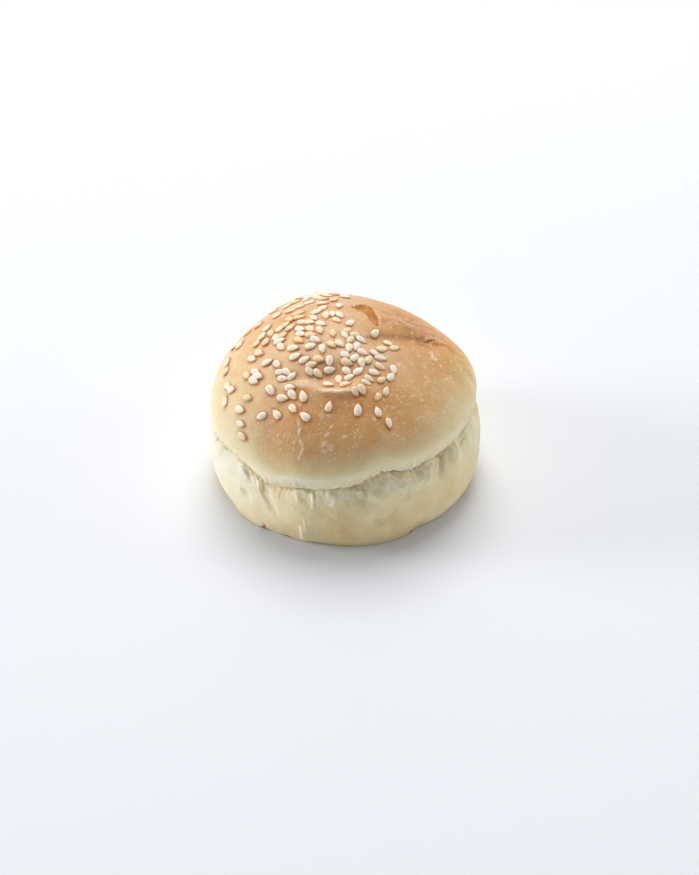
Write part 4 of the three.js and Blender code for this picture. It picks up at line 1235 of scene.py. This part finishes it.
# hulled sesame, toasted on the roll: ivory and lightly oily, tan at the point and the rim, with
# painted shade on the rim's lower side and in the middle
sesameLook = {
    "seedStops": [(0.0, "#FBF0DA"), (0.5, "#FBF0DA"), (1.0, "#EDD0A0")],
    # mask, how strong, colour: the rim is toasted tan with painted shade on the lower side, and the
    # middle is painted shade of a hollow
    "layers": [("rim", 0.85, "#D8842E"), ("middle", 0.45, "#E6CFA6")],
    "roughness": 0.42,
    "ior": 1.47,
    "scatter": 0.45,
    "scatterDepth": 0.7,
    "scatterRadius": (1.0, 0.75, 0.5),
}


def sesameMaterial():
    look = sesameLook
    material, tree = newMaterial("hulledSesame")
    each = addNode(tree, "NewGeometry", {}).outputs["Random Per Island"]
    ramp = addNode(tree, "ValToRGB", {"Fac": each})
    setRamp(ramp, look["seedStops"])
    colour = ramp.outputs["Color"]
    for name, strength, code in look["layers"]:
        mask = addNode(tree, "Attribute", {"attribute_name": name})
        amount = addNode(tree, "Math", {"operation": "MULTIPLY", 0: mask.outputs["Fac"],
                                        1: strength})
        mix = addNode(tree, "Mix", {"data_type": "RGBA", mixAmount: amount.outputs[0],
                                    mixFirst: colour, mixSecond: opaque(code)})
        colour = mix.outputs[mixResult]
    skin = addNode(tree, "BsdfPrincipled", {
        "Base Color": colour, "Roughness": look["roughness"], "IOR": look["ior"],
        "Subsurface Weight": look["scatter"], "Subsurface Radius": look["scatterRadius"],
        "Subsurface Scale": look["scatterDepth"] * mm})
    addNode(tree, "OutputMaterial", {"Surface": skin.outputs["BSDF"]})
    return material


print("scattering the sesame seeds")
seeds = makeSeeds()
seeds.data.materials.append(sesameMaterial())
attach(seeds, "root")


def makeTable():
    half = tableLight["tableSize"] / 2
    corners = [(-half, -half, 0), (half, -half, 0), (half, half, 0), (-half, half, 0)]
    piece = newMesh("table", [tuple(value * mm for value in corner) for corner in corners],
                    [(0, 1, 2, 3)])
    material, tree = newMaterial("paleTable")
    top = addNode(tree, "BsdfPrincipled", {
        "Base Color": opaque(tableLight["tableColour"]), "Roughness": tableLight["tableRoughness"],
        "Specular IOR Level": tableLight["tableSheen"]})
    addNode(tree, "OutputMaterial", {"Surface": top.outputs["BSDF"]})
    piece.data.materials.append(material)


def makeLights():
    world = bpy.data.worlds.new("softRoom")
    bpy.context.scene.world = world
    world.use_nodes = True
    background = world.node_tree.nodes["Background"]
    background.inputs["Color"].default_value = opaque(tableLight["worldColour"])
    background.inputs["Strength"].default_value = tableLight["worldStrength"]
    for name, (place, size, power, colour) in tableLight["softboxes"].items():
        light = bpy.data.lights.new(name, "AREA")
        light.shape = "DISK"
        light.size = size * mm
        light.energy = power
        light.color = hexToLinear(colour)
        lamp = bpy.data.objects.new(name, light)
        lamp.location = Vector(place) * mm
        lamp.rotation_euler = (-lamp.location).to_track_quat("-Z", "Y").to_euler()
        bpy.context.scene.collection.objects.link(lamp)


def makeCamera():
    lens = bpy.data.cameras.new("photoCamera")
    lens.lens = photoView["lens"]
    camera = bpy.data.objects.new("photoCamera", lens)
    down = math.radians(photoView["lookDown"])
    back = Vector((0, -math.cos(down), math.sin(down)))
    camera.location = (Vector(photoView["target"]) + back * photoView["distance"]) * mm
    camera.rotation_euler = (-back).to_track_quat("-Z", "Y").to_euler()
    lens.clip_start = photoView["clipStart"] * mm
    bpy.context.scene.collection.objects.link(camera)
    bpy.context.scene.camera = camera


print("setting the table, the lights and the camera")
makeTable()
makeLights()
makeCamera()
bpy.context.scene.view_settings.view_transform = "Standard"

bpy.context.view_layer.update()
print("bread roll done")
